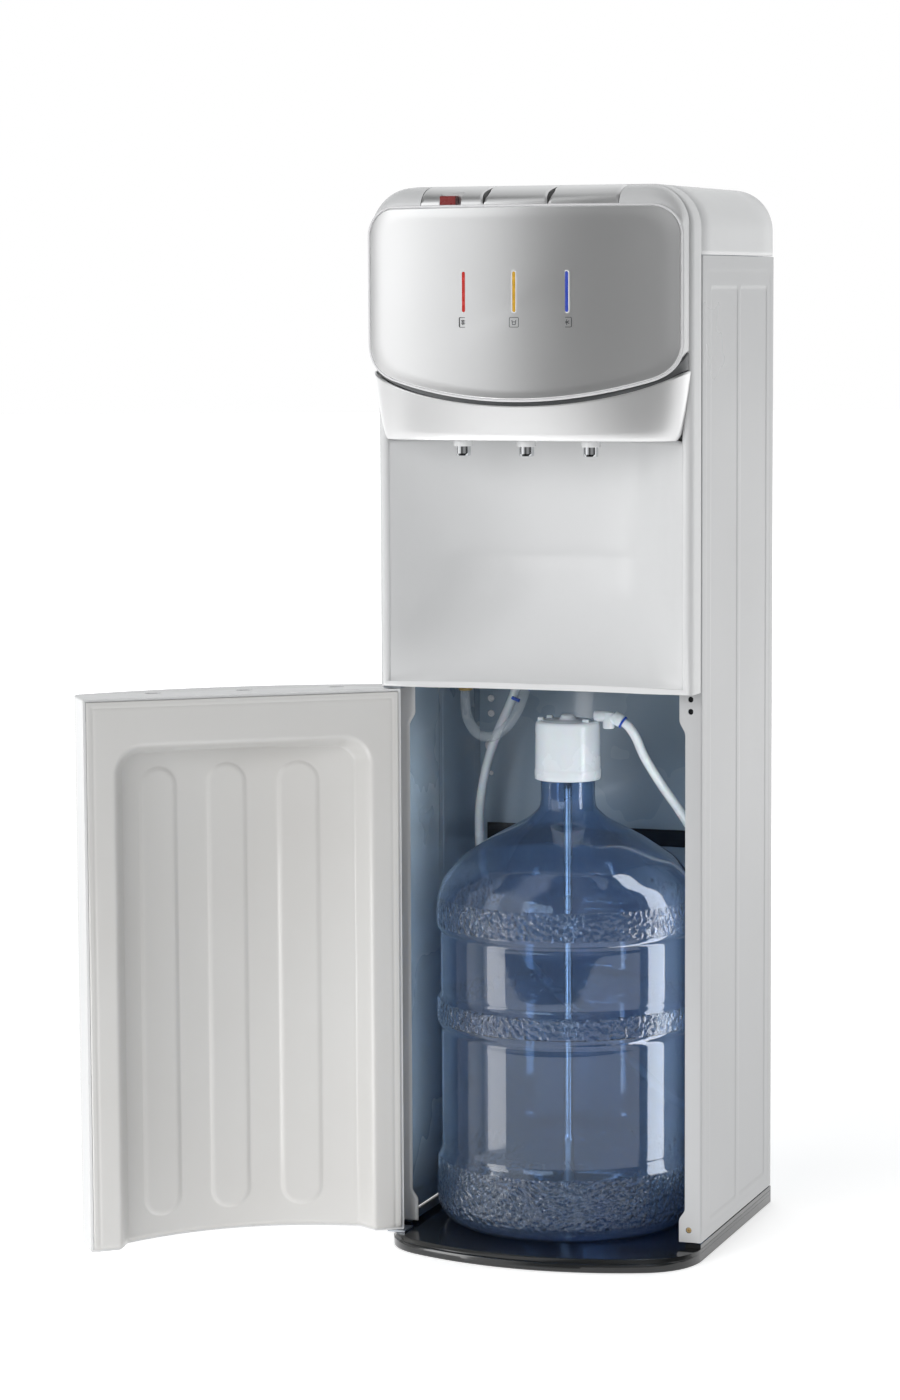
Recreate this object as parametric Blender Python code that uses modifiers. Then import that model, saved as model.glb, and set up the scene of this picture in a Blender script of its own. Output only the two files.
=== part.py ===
"""Floor-standing bottom-loading water dispenser with three taps, its door open and its bottle in the bay.

Metres, +Z up. The origin is on the base's underside, at mid-width, in the plane of the cabinet's door
frame. The front faces -Y and the cabinet runs back along +Y. The door is drawn shut and turned open by
the empty on its hinge line.
"""

import math

import bmesh
import bpy
from mathutils import Matrix, Vector

# Cabinet
HALF_WIDTH = 0.160
DEPTH = 0.266
HEIGHT = 1.057
SHEET = 0.001
GAP = 0.0003
WALL = 0.0025
SIDE_LOW = 0.0188
SIDE_HIGH = 0.989
COVER_RADIUS = 0.042
COVER_FRONT_Y = -0.0052
BACK_Y = 0.256
CEILING_Z = 0.5735
EDGE_BEND = 0.0015

# Side panels: door jamb widths and the stamped rectangles
JAMB_TAB_X = 0.1375
JAMB_MID_X = 0.1435
JAMB_HEAD_X = 0.1535
REAR_FLANGE = 0.014
JAMB_SCREW_X = 0.1475
JAMB_SLOT_X = 0.1490
JAMB_SLOTS_Z = (0.547, 0.559)
EMBOSS_DEPTH = 0.0012
EMBOSS_RAMP = 0.004
EMBOSS_SPANS_Y = ((0.033, 0.128), (0.140, 0.238))
EMBOSS_SPAN_Z = (0.037, 0.958)

# Base
BASE_TOP = 0.0127
BASE_RIM_TOP = 0.0175
TONGUE_RIM = 0.0088
TONGUE_FRONT_Y = -0.086
TONGUE_SIDE_RISE = 0.040
TONGUE_BOW_HALF = 0.153
TONGUE_STRAIGHT_HALF = 0.120
BASE_RIM_WIDTH = 0.0158
BASE_RIM_BACK_Y = 0.250
FOOT_X = 0.128
FEET_Y = (0.012, 0.236)
FOOT_RADIUS = 0.0132
FOOT_HEIGHT = 0.0027

# Front frame, niche and dispensing head
FRAME_HALF = 0.1606
FRAME_FRONT_Y = -0.0385
FRAME_LOW = 0.5665
NICHE_HALF = 0.1503
NICHE_LOW = 0.572
NICHE_HIGH = 0.8115
TAP_PLATE_Z = 0.812
HEAD_HALF = 0.158
HEAD_RADIUS = 0.038
HEAD_TOP = 1.056
HEAD_BACK_Y = FRAME_FRONT_Y - GAP
PANEL_HALF = 0.160
PANEL_TOP = 1.038
PANEL_RADIUS = 0.030
PANEL_LOW = 0.850
PANEL_LOW_RISE = 0.027
PANEL_BOW_HALF = 0.156
PANEL_CORNER_X = 0.128
PANEL_CORNER_Z = 0.906
PANEL_CORNER_CONTROL_Z = 0.877
PANEL_CENTRE_Z = 0.945
PANEL_MID_Y = -0.093
PANEL_EDGE_Y = -0.064
PANEL_THICK = 0.003
PANEL_GAP = 0.0012

# Taps, buttons and indicators
TAP_SPACING = 0.065
TAP_Y = -0.056
NOZZLE_LOW = 0.7965
NOZZLE_RADIUS = 0.00725
BUTTON_EDGE = 0.0995
BUTTON_GAP_X = 0.033
BUTTON_SEAM = 0.0005
BUTTON_SETBACK = 0.0047
BUTTON_BACK_Y = -0.0443
BUTTON_LOW = 1.030
BUTTON_PIVOT = Vector((0.0, BUTTON_BACK_Y, 1.050))
BUTTON_LIFT = 0.0006
BUTTON_ROOM = 0.005
INDICATOR_SPACING = 0.052
INDICATOR_HALF = (0.00175, 0.0195)
INDICATOR_Z = 0.955
LOCK_X = (-0.0785, -0.0625)
LOCK_Y = (-0.0822, -0.0740)
LOCK_TOP = 1.0468
LOCK_TRAVEL = 0.006

# Door
DOOR_LOW = 0.0155
DOOR_HIGH = 0.5635
DOOR_BACK_Y = -0.002
DOOR_EDGE_Y = -0.053
DOOR_MID_Y = -0.078
HINGE_X = -0.1555
HINGE_Y = -0.0165
PIN_RADIUS = 0.0022
PIN_HOLE_RADIUS = PIN_RADIUS + GAP
DOOR_OPEN_DEG = 144.0
RECESS_HALF = 0.1315
RECESS_TOP = 0.519
RECESS_CORNER = 0.025
RECESS_WALL = 0.014
RECESS_MID_DEPTH = 0.053
RECESS_SIDE_DEPTH = 0.024

# Bottle and pump cap
BOTTLE_X = -0.005
BOTTLE_Y = 0.086
BOTTLE_Z = BASE_TOP + GAP
NECK_RADIUS = 0.0275
NECK_TOP = 0.503
CAP_LOW = 0.465
CAP_TOP = 0.531
SUCTION_RADIUS = 0.00475
LOOP_RADIUS = 0.0055
PUMP_X, PUMP_Y = 0.1270, 0.2270
PUMP_SPIGOT_RADIUS = 0.0045

SCENE = bpy.context.scene


def clear_scene():
    for obj in list(bpy.data.objects):
        bpy.data.objects.remove(obj, do_unlink=True)


def new_collection(name, is_helper=False):
    made = bpy.data.collections.new(name)
    SCENE.collection.children.link(made)
    made.hide_render = is_helper
    return made


def new_material(name, colour, roughness, metallic=0.0, alpha=1.0):
    made = bpy.data.materials.new(name)
    made.use_nodes = True
    shader = made.node_tree.nodes["Principled BSDF"]
    shader.inputs["Base Color"].default_value = (*colour, 1.0)
    shader.inputs["Roughness"].default_value = roughness
    shader.inputs["Metallic"].default_value = metallic
    shader.inputs["Alpha"].default_value = alpha
    return made


clear_scene()
PARTS = new_collection("water_dispenser")
CUTTERS = new_collection("cutters", is_helper=True)

WHITE = new_material("gloss_white_plastic", (0.84, 0.85, 0.86), 0.25)
DOOR_WHITE = new_material("door_liner_plastic", (0.80, 0.79, 0.77), 0.35)
ENAMEL = new_material("white_enamelled_steel", (0.80, 0.81, 0.82), 0.3)
ZINC = new_material("zinc_plated_steel", (0.42, 0.46, 0.50), 0.4, 0.8)
SLATE = new_material("slate_back_panel", (0.12, 0.15, 0.18), 0.5)
SILVER = new_material("satin_silver", (0.66, 0.67, 0.68), 0.35, 0.8)
TRIM_GREY = new_material("grey_trim", (0.35, 0.36, 0.37), 0.5)
BLACK = new_material("gloss_black_plastic", (0.012, 0.012, 0.013), 0.25)
RUBBER = new_material("black_rubber", (0.02, 0.02, 0.02), 0.8)
CHROME = new_material("chrome", (0.80, 0.80, 0.82), 0.08, 1.0)
STEEL = new_material("stainless_steel", (0.60, 0.60, 0.60), 0.3, 1.0)
BLUE_PC = new_material("blue_polycarbonate", (0.05, 0.13, 0.28), 0.1, 0.0, 0.45)
HOSE = new_material("white_hose", (0.78, 0.80, 0.82), 0.35)
SILICONE = new_material("clear_silicone", (0.75, 0.78, 0.80), 0.2, 0.0, 0.5)
FOAM = new_material("white_foam", (0.85, 0.85, 0.83), 0.9)
ALUMINIUM = new_material("aluminium", (0.65, 0.66, 0.67), 0.35, 1.0)
RED = new_material("red_plastic", (0.45, 0.02, 0.02), 0.35)
RED_GLOW = new_material("red_indicator", (0.58, 0.01, 0.005), 0.3)
AMBER_GLOW = new_material("amber_indicator", (0.58, 0.29, 0.004), 0.3)
BLUE_GLOW = new_material("blue_indicator", (0.01, 0.05, 0.46), 0.3)


# Meshes from Blender's primitives, curves and modifiers


def box(low, high):
    """A cuboid between two corners."""
    low, high = Vector(low), Vector(high)
    mesh = bpy.data.meshes.new("box")
    bm = bmesh.new()
    place = Matrix.Translation((low + high) / 2) @ Matrix.Diagonal((*(high - low), 1.0))
    bmesh.ops.create_cube(bm, size=1.0, matrix=place)
    bm.to_mesh(mesh)
    bm.free()
    return mesh


def cylinder(start, end, radius, sides=16):
    """A closed cylinder between two points on its axis."""
    start, end = Vector(start), Vector(end)
    along = end - start
    turn = along.to_track_quat("Z", "Y").to_matrix().to_4x4()
    mesh = bpy.data.meshes.new("cylinder")
    bm = bmesh.new()
    bmesh.ops.create_cone(
        bm,
        cap_ends=True,
        segments=sides,
        radius1=radius,
        radius2=radius,
        depth=along.length,
        matrix=Matrix.Translation((start + end) / 2) @ turn,
    )
    bm.to_mesh(mesh)
    bm.free()
    return mesh


def together(*meshes):
    """One mesh that holds separate shapes, for cutters."""
    bm = bmesh.new()
    for mesh in meshes:
        bm.from_mesh(mesh)
        bpy.data.meshes.remove(mesh)
    made = bpy.data.meshes.new("group")
    bm.to_mesh(made)
    bm.free()
    return made


AXES = {
    "X": Matrix(((0, 0, 1, 0), (1, 0, 0, 0), (0, 1, 0, 0), (0, 0, 0, 1))),
    "Y": Matrix(((1, 0, 0, 0), (0, 0, -1, 0), (0, 1, 0, 0), (0, 0, 0, 1))),
    "Z": Matrix.Identity(4),
}


def slab(outline, low, high, axis="Z"):
    """A flat outline extruded from low to high along an axis, read as (y, z), (x, z) or (x, y)."""
    curve = bpy.data.curves.new("outline", "CURVE")
    curve.dimensions = "2D"
    curve.fill_mode = "BOTH"
    curve.extrude = (high - low) / 2
    spline = curve.splines.new("POLY")
    spline.points.add(len(outline) - 1)
    for point, (across, up) in zip(spline.points, outline):
        point.co = (across, up, 0.0, 1.0)
    spline.use_cyclic_u = True
    holder = bpy.data.objects.new("outline", curve)
    SCENE.collection.objects.link(holder)
    bpy.context.view_layer.update()
    graph = bpy.context.evaluated_depsgraph_get()
    mesh = bpy.data.meshes.new_from_object(holder.evaluated_get(graph))
    bpy.data.objects.remove(holder)
    middle = Vector(["XYZ"[i] == axis for i in range(3)]) * ((low + high) / 2)
    mesh.transform(Matrix.Translation(middle) @ AXES[axis])
    bm = bmesh.new()
    bm.from_mesh(mesh)
    bmesh.ops.remove_doubles(bm, verts=bm.verts, dist=1e-6)
    bmesh.ops.recalc_face_normals(bm, faces=bm.faces)
    bm.to_mesh(mesh)
    bm.free()
    return mesh


def surface(rows, flip=False, closed=False, capped=False, last_filled=False):
    """A skin through rows of points; closed joins each row's ends.

    capped fills the first and last rows and makes a solid; last_filled fills the last row only.
    """
    bm = bmesh.new()
    grid = [[bm.verts.new(point) for point in row] for row in rows]
    for low, high in zip(grid, grid[1:]):
        last = len(low) if closed else len(low) - 1
        for i in range(last):
            j = (i + 1) % len(low)
            face = (low[i], low[j], high[j], high[i])
            bm.faces.new(face[::-1] if flip else face)
    if capped:
        bm.faces.new(grid[0])
        bm.faces.new(grid[-1])
        bmesh.ops.recalc_face_normals(bm, faces=bm.faces)
    elif last_filled:
        bm.faces.new(grid[-1])
    mesh = bpy.data.meshes.new("surface")
    bm.to_mesh(mesh)
    bm.free()
    return mesh


def set_smooth(mesh):
    mesh.shade_smooth()
    mesh.set_sharp_from_angle(angle=math.radians(35))


def attach(obj, parent):
    """Parents obj, whose mesh is drawn in place, to an empty that is on its joint's axis."""
    if parent:
        obj.parent = parent
        obj.matrix_parent_inverse = Matrix.Translation(-parent.location)


def add(name, mesh, material, parent=None):
    """A sub-part, named for its node."""
    mesh.name = name
    mesh.materials.clear()
    mesh.materials.append(material)
    set_smooth(mesh)
    obj = bpy.data.objects.new(name, mesh)
    PARTS.objects.link(obj)
    attach(obj, parent)
    return obj


def thicken(obj, thickness):
    """Gives an open surface its wall, on the side away from its normals."""
    modifier = obj.modifiers.new("wall", "SOLIDIFY")
    modifier.thickness = thickness
    modifier.offset = -1.0
    modifier.use_even_offset = True
    return obj


def boolean(obj, mesh, operation="DIFFERENCE"):
    """Cuts, joins or meets obj with a helper mesh drawn in the same place."""
    mesh.name = f"{obj.name}_{operation.lower()}_{len(obj.modifiers)}"
    helper = bpy.data.objects.new(mesh.name, mesh)
    CUTTERS.objects.link(helper)
    helper.hide_render = True
    helper.display_type = "WIRE"
    attach(helper, obj.parent)
    modifier = obj.modifiers.new(operation.lower(), "BOOLEAN")
    modifier.operation = operation
    modifier.object = helper
    modifier.solver = "EXACT"
    return obj


def turned(name, profile, centre, material, steps=24, along_y=False, parent=None):
    """A (radius, height) profile, listed down its outer side, turned about the axis through centre."""
    closed = profile[0] != profile[-1] and profile[-1][0] > 0.0
    bm = bmesh.new()
    line = [bm.verts.new((radius, 0.0, height)) for radius, height in profile]
    for start, end in zip(line, line[1:]):
        bm.edges.new((start, end))
    if closed:
        bm.edges.new((line[-1], line[0]))
    mesh = bpy.data.meshes.new(name)
    bm.to_mesh(mesh)
    bm.free()
    mesh.materials.append(material)
    obj = bpy.data.objects.new(name, mesh)
    PARTS.objects.link(obj)
    screw = obj.modifiers.new("turn", "SCREW")
    screw.steps = steps
    screw.render_steps = steps
    screw.use_merge_vertices = True
    screw.merge_threshold = 1e-5
    screw.use_smooth_shade = True
    offset = parent.location if parent else Vector((0.0, 0.0, 0.0))
    obj.location = Vector(centre) - offset
    obj.parent = parent
    if along_y:
        obj.rotation_euler = (-math.pi / 2, 0.0, 0.0)
    return obj


def smooth_route(points, spacing):
    """Points about spacing apart on a Catmull-Rom curve through the route's own points."""
    points = [Vector(point) for point in points]
    ends = [2 * points[0] - points[1], *points, 2 * points[-1] - points[-2]]
    route = []
    for before, start, end, after in zip(ends, ends[1:], ends[2:], ends[3:]):
        parts = max(1, round((end - start).length / spacing))
        for i in range(parts):
            t = i / parts
            route.append(
                0.5
                * (
                    2 * start
                    + (end - before) * t
                    + (2 * before - 5 * start + 4 * end - after) * t**2
                    + (3 * start - before - 3 * end + after) * t**3
                )
            )
    route.append(points[-1])
    return route


def tube(name, route, radius, material, parent=None, spacing_diameters=2.5):
    """A hose along a smooth curve through the route."""
    route = smooth_route(route, 2 * radius * spacing_diameters)
    curve = bpy.data.curves.new(name, "CURVE")
    curve.dimensions = "3D"
    curve.bevel_depth = radius
    curve.bevel_resolution = 2
    curve.use_fill_caps = True
    spline = curve.splines.new("POLY")
    spline.points.add(len(route) - 1)
    for point, place in zip(spline.points, route):
        point.co = (*place, 1.0)
    curve.materials.append(material)
    obj = bpy.data.objects.new(name, curve)
    PARTS.objects.link(obj)
    attach(obj, parent)
    return obj


def arc(centre, radius, start_deg, end_deg, steps):
    """Points on a circular arc, both ends included."""
    turns = [math.radians(start_deg + (end_deg - start_deg) * i / steps) for i in range(steps + 1)]
    return [(centre[0] + radius * math.cos(a), centre[1] + radius * math.sin(a)) for a in turns]


def bend(start, control, end, steps):
    """Points on a quadratic curve, both ends included."""
    points = []
    for i in range(steps + 1):
        t = i / steps
        weights = ((1 - t) ** 2, 2 * t * (1 - t), t**2)
        points.append(
            tuple(sum(w * p[k] for w, p in zip(weights, (start, control, end))) for k in (0, 1))
        )
    return points


def spread(low, high, count):
    """Evenly spaced values, both ends included."""
    return [low + (high - low) * i / (count - 1) for i in range(count)]


def empty(name, location):
    """A joint's axis."""
    made = bpy.data.objects.new(name, None)
    PARTS.objects.link(made)
    made.location = location
    return made


# Cabinet


def hood_outline(half, low, top, radius, steps=8):
    """An upright rectangle with its two top corners rounded, as (x, z), anticlockwise."""
    right = arc((half - radius, top - radius), radius, 0, 90, steps)
    left = arc((radius - half, top - radius), radius, 90, 180, steps)
    return [(-half, low), (half, low), *right, *left]


def base_outline(front_inset=0.0):
    """The base from above: a rectangle with a bowed tongue in front, anticlockwise from its rear right."""
    bow = [
        (x, TONGUE_FRONT_Y + front_inset + TONGUE_SIDE_RISE * (x / TONGUE_BOW_HALF) ** 2)
        for x in spread(TONGUE_STRAIGHT_HALF, -TONGUE_STRAIGHT_HALF, 13)
    ]
    right = bend((HALF_WIDTH, 0.0), (0.156, bow[0][1] + 0.016), bow[0], 5)[:-1]
    left = [(-x, y) for x, y in reversed(right)]
    return [(-HALF_WIDTH, DEPTH), (HALF_WIDTH, DEPTH), *right, *bow, *left]


def make_base():
    levels = ((0.0, 0.002), (EDGE_BEND, 0.0), (TONGUE_RIM, 0.0), (BASE_TOP, 0.008))
    rings = [[(x, y, z) for x, y in base_outline(inset)] for z, inset in levels]
    base = add("base", surface(rings, closed=True, capped=True), BLACK)
    inner = HALF_WIDTH - BASE_RIM_WIDTH
    rim = [
        (-HALF_WIDTH, 0.0),
        (-inner, 0.0),
        (-inner, BASE_RIM_BACK_Y),
        (inner, BASE_RIM_BACK_Y),
        (inner, 0.0),
        (HALF_WIDTH, 0.0),
        (HALF_WIDTH, DEPTH),
        (-HALF_WIDTH, DEPTH),
    ]
    add("base_rim", slab(rim, BASE_TOP + GAP, BASE_RIM_TOP), BLACK)
    corners = [(x, y) for x in (-FOOT_X, FOOT_X) for y in FEET_Y]
    pockets = [
        cylinder((x, y, -0.001), (x, y, FOOT_HEIGHT + GAP), FOOT_RADIUS + GAP, 20)
        for x, y in corners
    ]
    boolean(base, together(*pockets))
    for number, (x, y) in enumerate(corners, 1):
        mesh = cylinder((x, y, 0.0), (x, y, FOOT_HEIGHT), FOOT_RADIUS, 20)
        add(f"foot_{number}", mesh, RUBBER)


def ramp(value, low, high):
    """1 between low and high, falling to 0 over the emboss ramp outside them."""
    return max(0.0, min(1.0, 1 + min(value - low, high - value) / EMBOSS_RAMP))


def side_panel_rows():
    """The right side panel's outer face, as rows of points from its door jamb to its rear flange."""
    jamb = [
        (SIDE_LOW, JAMB_TAB_X),
        (0.033, JAMB_TAB_X),
        (0.038, JAMB_TAB_X),
        (0.056, JAMB_MID_X),
        (0.290, JAMB_MID_X),
        (0.520, JAMB_MID_X),
        (0.540, JAMB_TAB_X),
        (0.5655, JAMB_TAB_X),
        (0.5665, JAMB_HEAD_X),
        (0.760, JAMB_HEAD_X),
        (0.958, JAMB_HEAD_X),
        (0.962, JAMB_HEAD_X),
        (SIDE_HIGH, JAMB_HEAD_X),
    ]
    face_y = [EDGE_BEND, 0.012]
    for low, high in EMBOSS_SPANS_Y:
        face_y += [low - EMBOSS_RAMP, low, high, high + EMBOSS_RAMP]
    face_y += [DEPTH - EDGE_BEND]
    rows = []
    for z, jamb_x in jamb:
        row = [(jamb_x, 0.0, z), (HALF_WIDTH - EDGE_BEND, 0.0, z)]
        for y in face_y:
            stamped = max(ramp(y, low, high) for low, high in EMBOSS_SPANS_Y)
            stamped *= ramp(z, *EMBOSS_SPAN_Z)
            row.append((HALF_WIDTH - EMBOSS_DEPTH * stamped, y, z))
        row += [(HALF_WIDTH - EDGE_BEND, DEPTH, z), (HALF_WIDTH - REAR_FLANGE, DEPTH, z)]
        rows.append(row)
    return rows


def make_side_panels():
    rows = side_panel_rows()
    right = add("right_side_panel", surface(rows), ENAMEL)
    thicken(right, SHEET)
    slots = [
        cylinder((JAMB_SLOT_X, -0.002, z), (JAMB_SLOT_X, 0.003, z), 0.0026, 12)
        for z in JAMB_SLOTS_Z
    ]
    screw_hole = cylinder((JAMB_SCREW_X, -0.002, 0.031), (JAMB_SCREW_X, 0.003, 0.031), 0.003, 12)
    boolean(right, together(*slots, screw_hole))
    mirrored = [[(-x, y, z) for x, y, z in row] for row in rows]
    left = add("left_side_panel", surface(mirrored, flip=True), ENAMEL)
    thicken(left, SHEET)
    magnet = box((0.1425, 0.0014, 0.541), (0.1575, 0.0095, 0.5645))
    add("door_magnet", magnet, BLACK)


def make_back_panel():
    low, high = (-0.1587, BACK_Y, 0.0181), (0.1587, BACK_Y + SHEET, 0.988)
    back = add("back_panel", box(low, high), SLATE)
    near_y, far_y = BACK_Y - 0.002, BACK_Y + 0.003
    holes = [
        cylinder((-0.146, near_y, z), (-0.146, far_y, z), radius, 12)
        for z, radius in ((0.525, 0.0035), (0.509, 0.0035), (0.475, 0.0065), (0.445, 0.0022))
    ]
    for row in range(2):
        for column in range(6):
            x = -0.1285 + 0.0514 * column
            z = 0.379 + 0.008 * row
            holes.append(box((x - 0.021, near_y, z - 0.002), (x + 0.021, far_y, z + 0.002)))
    for row in range(5):
        for side in (-1, 1):
            z = 0.735 + 0.013 * row
            x = side * 0.062
            holes.append(box((x - 0.040, near_y, z - 0.0025), (x + 0.040, far_y, z + 0.0025)))
    holes.append(box((0.0895, near_y, 0.875), (0.1305, far_y, 0.905)))
    boolean(back, together(*holes))


def make_top_cover():
    outer = hood_outline(HALF_WIDTH, SIDE_HIGH + 0.0006, HEIGHT, COVER_RADIUS)
    cover = add("top_cover", slab(outer, COVER_FRONT_Y, DEPTH, "Y"), WHITE)
    inner = hood_outline(
        HALF_WIDTH - WALL, SIDE_HIGH - 0.010, HEIGHT - WALL, COVER_RADIUS - WALL
    )
    boolean(cover, slab(inner, COVER_FRONT_Y - 0.010, DEPTH - WALL, "Y"))


def make_front_frame():
    back_y = COVER_FRONT_Y - GAP
    levels = ((back_y, 0.0), (-0.030, 0.0), (-0.0355, 0.001), (FRAME_FRONT_Y, 0.0035))
    rings = []
    for y, inset in levels:
        ring = hood_outline(
            FRAME_HALF - inset, FRAME_LOW, HEIGHT - inset, COVER_RADIUS - inset
        )
        rings.append([(x, y, z) for x, z in ring])
    frame = add("front_frame", surface(rings, closed=True, capped=True), WHITE)
    inner = hood_outline(NICHE_HALF, NICHE_LOW, HEIGHT - 0.006, COVER_RADIUS - 0.010)
    boolean(frame, slab(inner, FRAME_FRONT_Y - 0.010, COVER_FRONT_Y + 0.010, "Y"))
    ceiling = box((-0.1574, 0.0025, CEILING_Z), (0.1574, BACK_Y - 0.0005, CEILING_Z + 0.0015))
    add("bay_ceiling", ceiling, ZINC)


def niche_depth_y(z):
    """How far back the middle of the niche is at a height."""
    share = (z - NICHE_LOW) / (NICHE_HIGH - NICHE_LOW)
    scoop = 0.088 * math.sin(math.pi / 2 * min(1.0, share / 0.55)) ** 0.8
    return -0.025 + scoop - 0.050 * max(0.0, share - 0.5)


def make_niche():
    half = NICHE_HALF - 0.0025
    front_y = -0.034
    rows = []
    for share in (0.0, 0.03, 0.08, 0.16, 0.27, 0.40, 0.55, 0.75, 1.0):
        z = NICHE_LOW + 0.0024 + (NICHE_HIGH - NICHE_LOW - 0.0024) * share
        row = []
        for turn in spread(-90.0, 90.0, 17):
            across = math.sin(math.radians(turn))
            bowl = math.cos(math.radians(turn)) ** 0.5
            row.append((half * across, front_y + (niche_depth_y(z) - front_y) * bowl, z))
        rows.append(row)
    thicken(add("niche_liner", surface(rows), WHITE), 0.002)


# Dispensing head


def panel_y(x):
    """The silver panel's bowed front."""
    return PANEL_MID_Y + (PANEL_EDGE_Y - PANEL_MID_Y) * (x / PANEL_HALF) ** 2


def panel_low_curve(x):
    return PANEL_LOW + PANEL_LOW_RISE * (x / PANEL_BOW_HALF) ** 2


def panel_corner_low():
    """The silver panel's lower right corner, from its side round to the lower curve."""
    control = (PANEL_HALF, PANEL_CORNER_CONTROL_Z)
    end = (PANEL_CORNER_X, panel_low_curve(PANEL_CORNER_X))
    return bend((PANEL_HALF, PANEL_CORNER_Z), control, end, 5)


def panel_low(x):
    """The silver panel's lower edge at any x, its rounded corners included."""
    x = min(abs(x), PANEL_HALF)
    if x <= PANEL_CORNER_X:
        return panel_low_curve(x)
    along = math.sqrt((PANEL_HALF - x) / (PANEL_HALF - PANEL_CORNER_X))
    side = (1 - along) ** 2 * PANEL_CORNER_Z
    middle = 2 * along * (1 - along) * PANEL_CORNER_CONTROL_Z
    return side + middle + along**2 * panel_low_curve(PANEL_CORNER_X)


def rounded_top(x, half, top, radius):
    """Height of a round-shouldered outline at x."""
    over = max(0.0, abs(x) - (half - radius))
    return top - radius + math.sqrt(max(0.0, radius**2 - over**2))


def head_rise(share):
    """How far up the head's top has risen at a share of its depth: steep at the front, level behind."""
    return (1 - (1 - share) ** 2.4) ** 0.6


def head_section(x, inset=0.0, back_y=HEAD_BACK_Y):
    """The head shell cut at x: its back, underside, front and sloping top, as a closed loop."""
    front_y = panel_y(x) + PANEL_THICK + PANEL_GAP + inset
    low = panel_low(x) + 0.006 + inset
    top = rounded_top(x, HEAD_HALF, HEAD_TOP, HEAD_RADIUS) - inset
    lip = min(rounded_top(x, PANEL_HALF, PANEL_TOP, PANEL_RADIUS) - 0.0005 - inset, top - 0.001)
    loop = [(x, back_y, low), (x, front_y, low)]
    for share in (0.0, 0.03, 0.10, 0.22, 0.42, 0.68, 1.0):
        y = front_y + (back_y - front_y) * share
        loop.append((x, y, lip + (top - lip) * head_rise(share)))
    return loop


def head_solid(inset=0.0, back_y=HEAD_BACK_Y, lift=0.0):
    """The head shell's outer form, or one inset from it."""
    edge = HEAD_HALF - inset
    stations = [0.0, 0.030, 0.060, 0.090, 0.110, 0.124, 0.136, 0.146, 0.153, edge]
    stations = [-x for x in reversed(stations[1:])] + stations
    rings = []
    for x in stations:
        rings.append([(a, b, c + lift) for a, b, c in head_section(x, inset, back_y)])
    return surface(rings, closed=True, capped=True)


def button_outline(low_x, high_x, clearance=0.0):
    """A button from above: a straight back and a front that follows the head, anticlockwise."""
    low_x, high_x = low_x - clearance, high_x + clearance
    count = 3 + round((high_x - low_x) / 0.012)
    front_y = BUTTON_SETBACK - clearance
    front = [(x, panel_y(x) + front_y) for x in spread(low_x, high_x, count)]
    back_y = BUTTON_BACK_Y + clearance
    return [*front, (high_x, back_y), (low_x, back_y)]


def make_buttons():
    spans = {
        "hot_button": (-BUTTON_EDGE, -BUTTON_GAP_X - BUTTON_SEAM),
        "room_button": (-BUTTON_GAP_X + BUTTON_SEAM, BUTTON_GAP_X - BUTTON_SEAM),
        "cold_button": (BUTTON_GAP_X + BUTTON_SEAM, BUTTON_EDGE),
    }
    for name, span in spans.items():
        pivot = empty(f"{name}_axis", BUTTON_PIVOT)
        blank = slab(button_outline(*span), BUTTON_LOW, HEIGHT + 0.005)
        button = add(name, blank, SILVER, pivot)
        boolean(button, head_solid(lift=BUTTON_LIFT), "INTERSECT")
        if name == "hot_button":
            slot_low = (LOCK_X[0] - 0.0006, -0.100, 1.02)
            slot_high = (LOCK_X[1] + LOCK_TRAVEL + 0.0006, LOCK_Y[1] + 0.0006, 1.07)
            boolean(button, box(slot_low, slot_high))
    axis = empty("child_lock_axis", (LOCK_X[0], LOCK_Y[0], 1.040))
    lock_low = (LOCK_X[0], LOCK_Y[0], BUTTON_LOW + 0.004)
    add("child_lock", box(lock_low, (LOCK_X[1], LOCK_Y[1], LOCK_TOP)), RED, axis)


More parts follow.
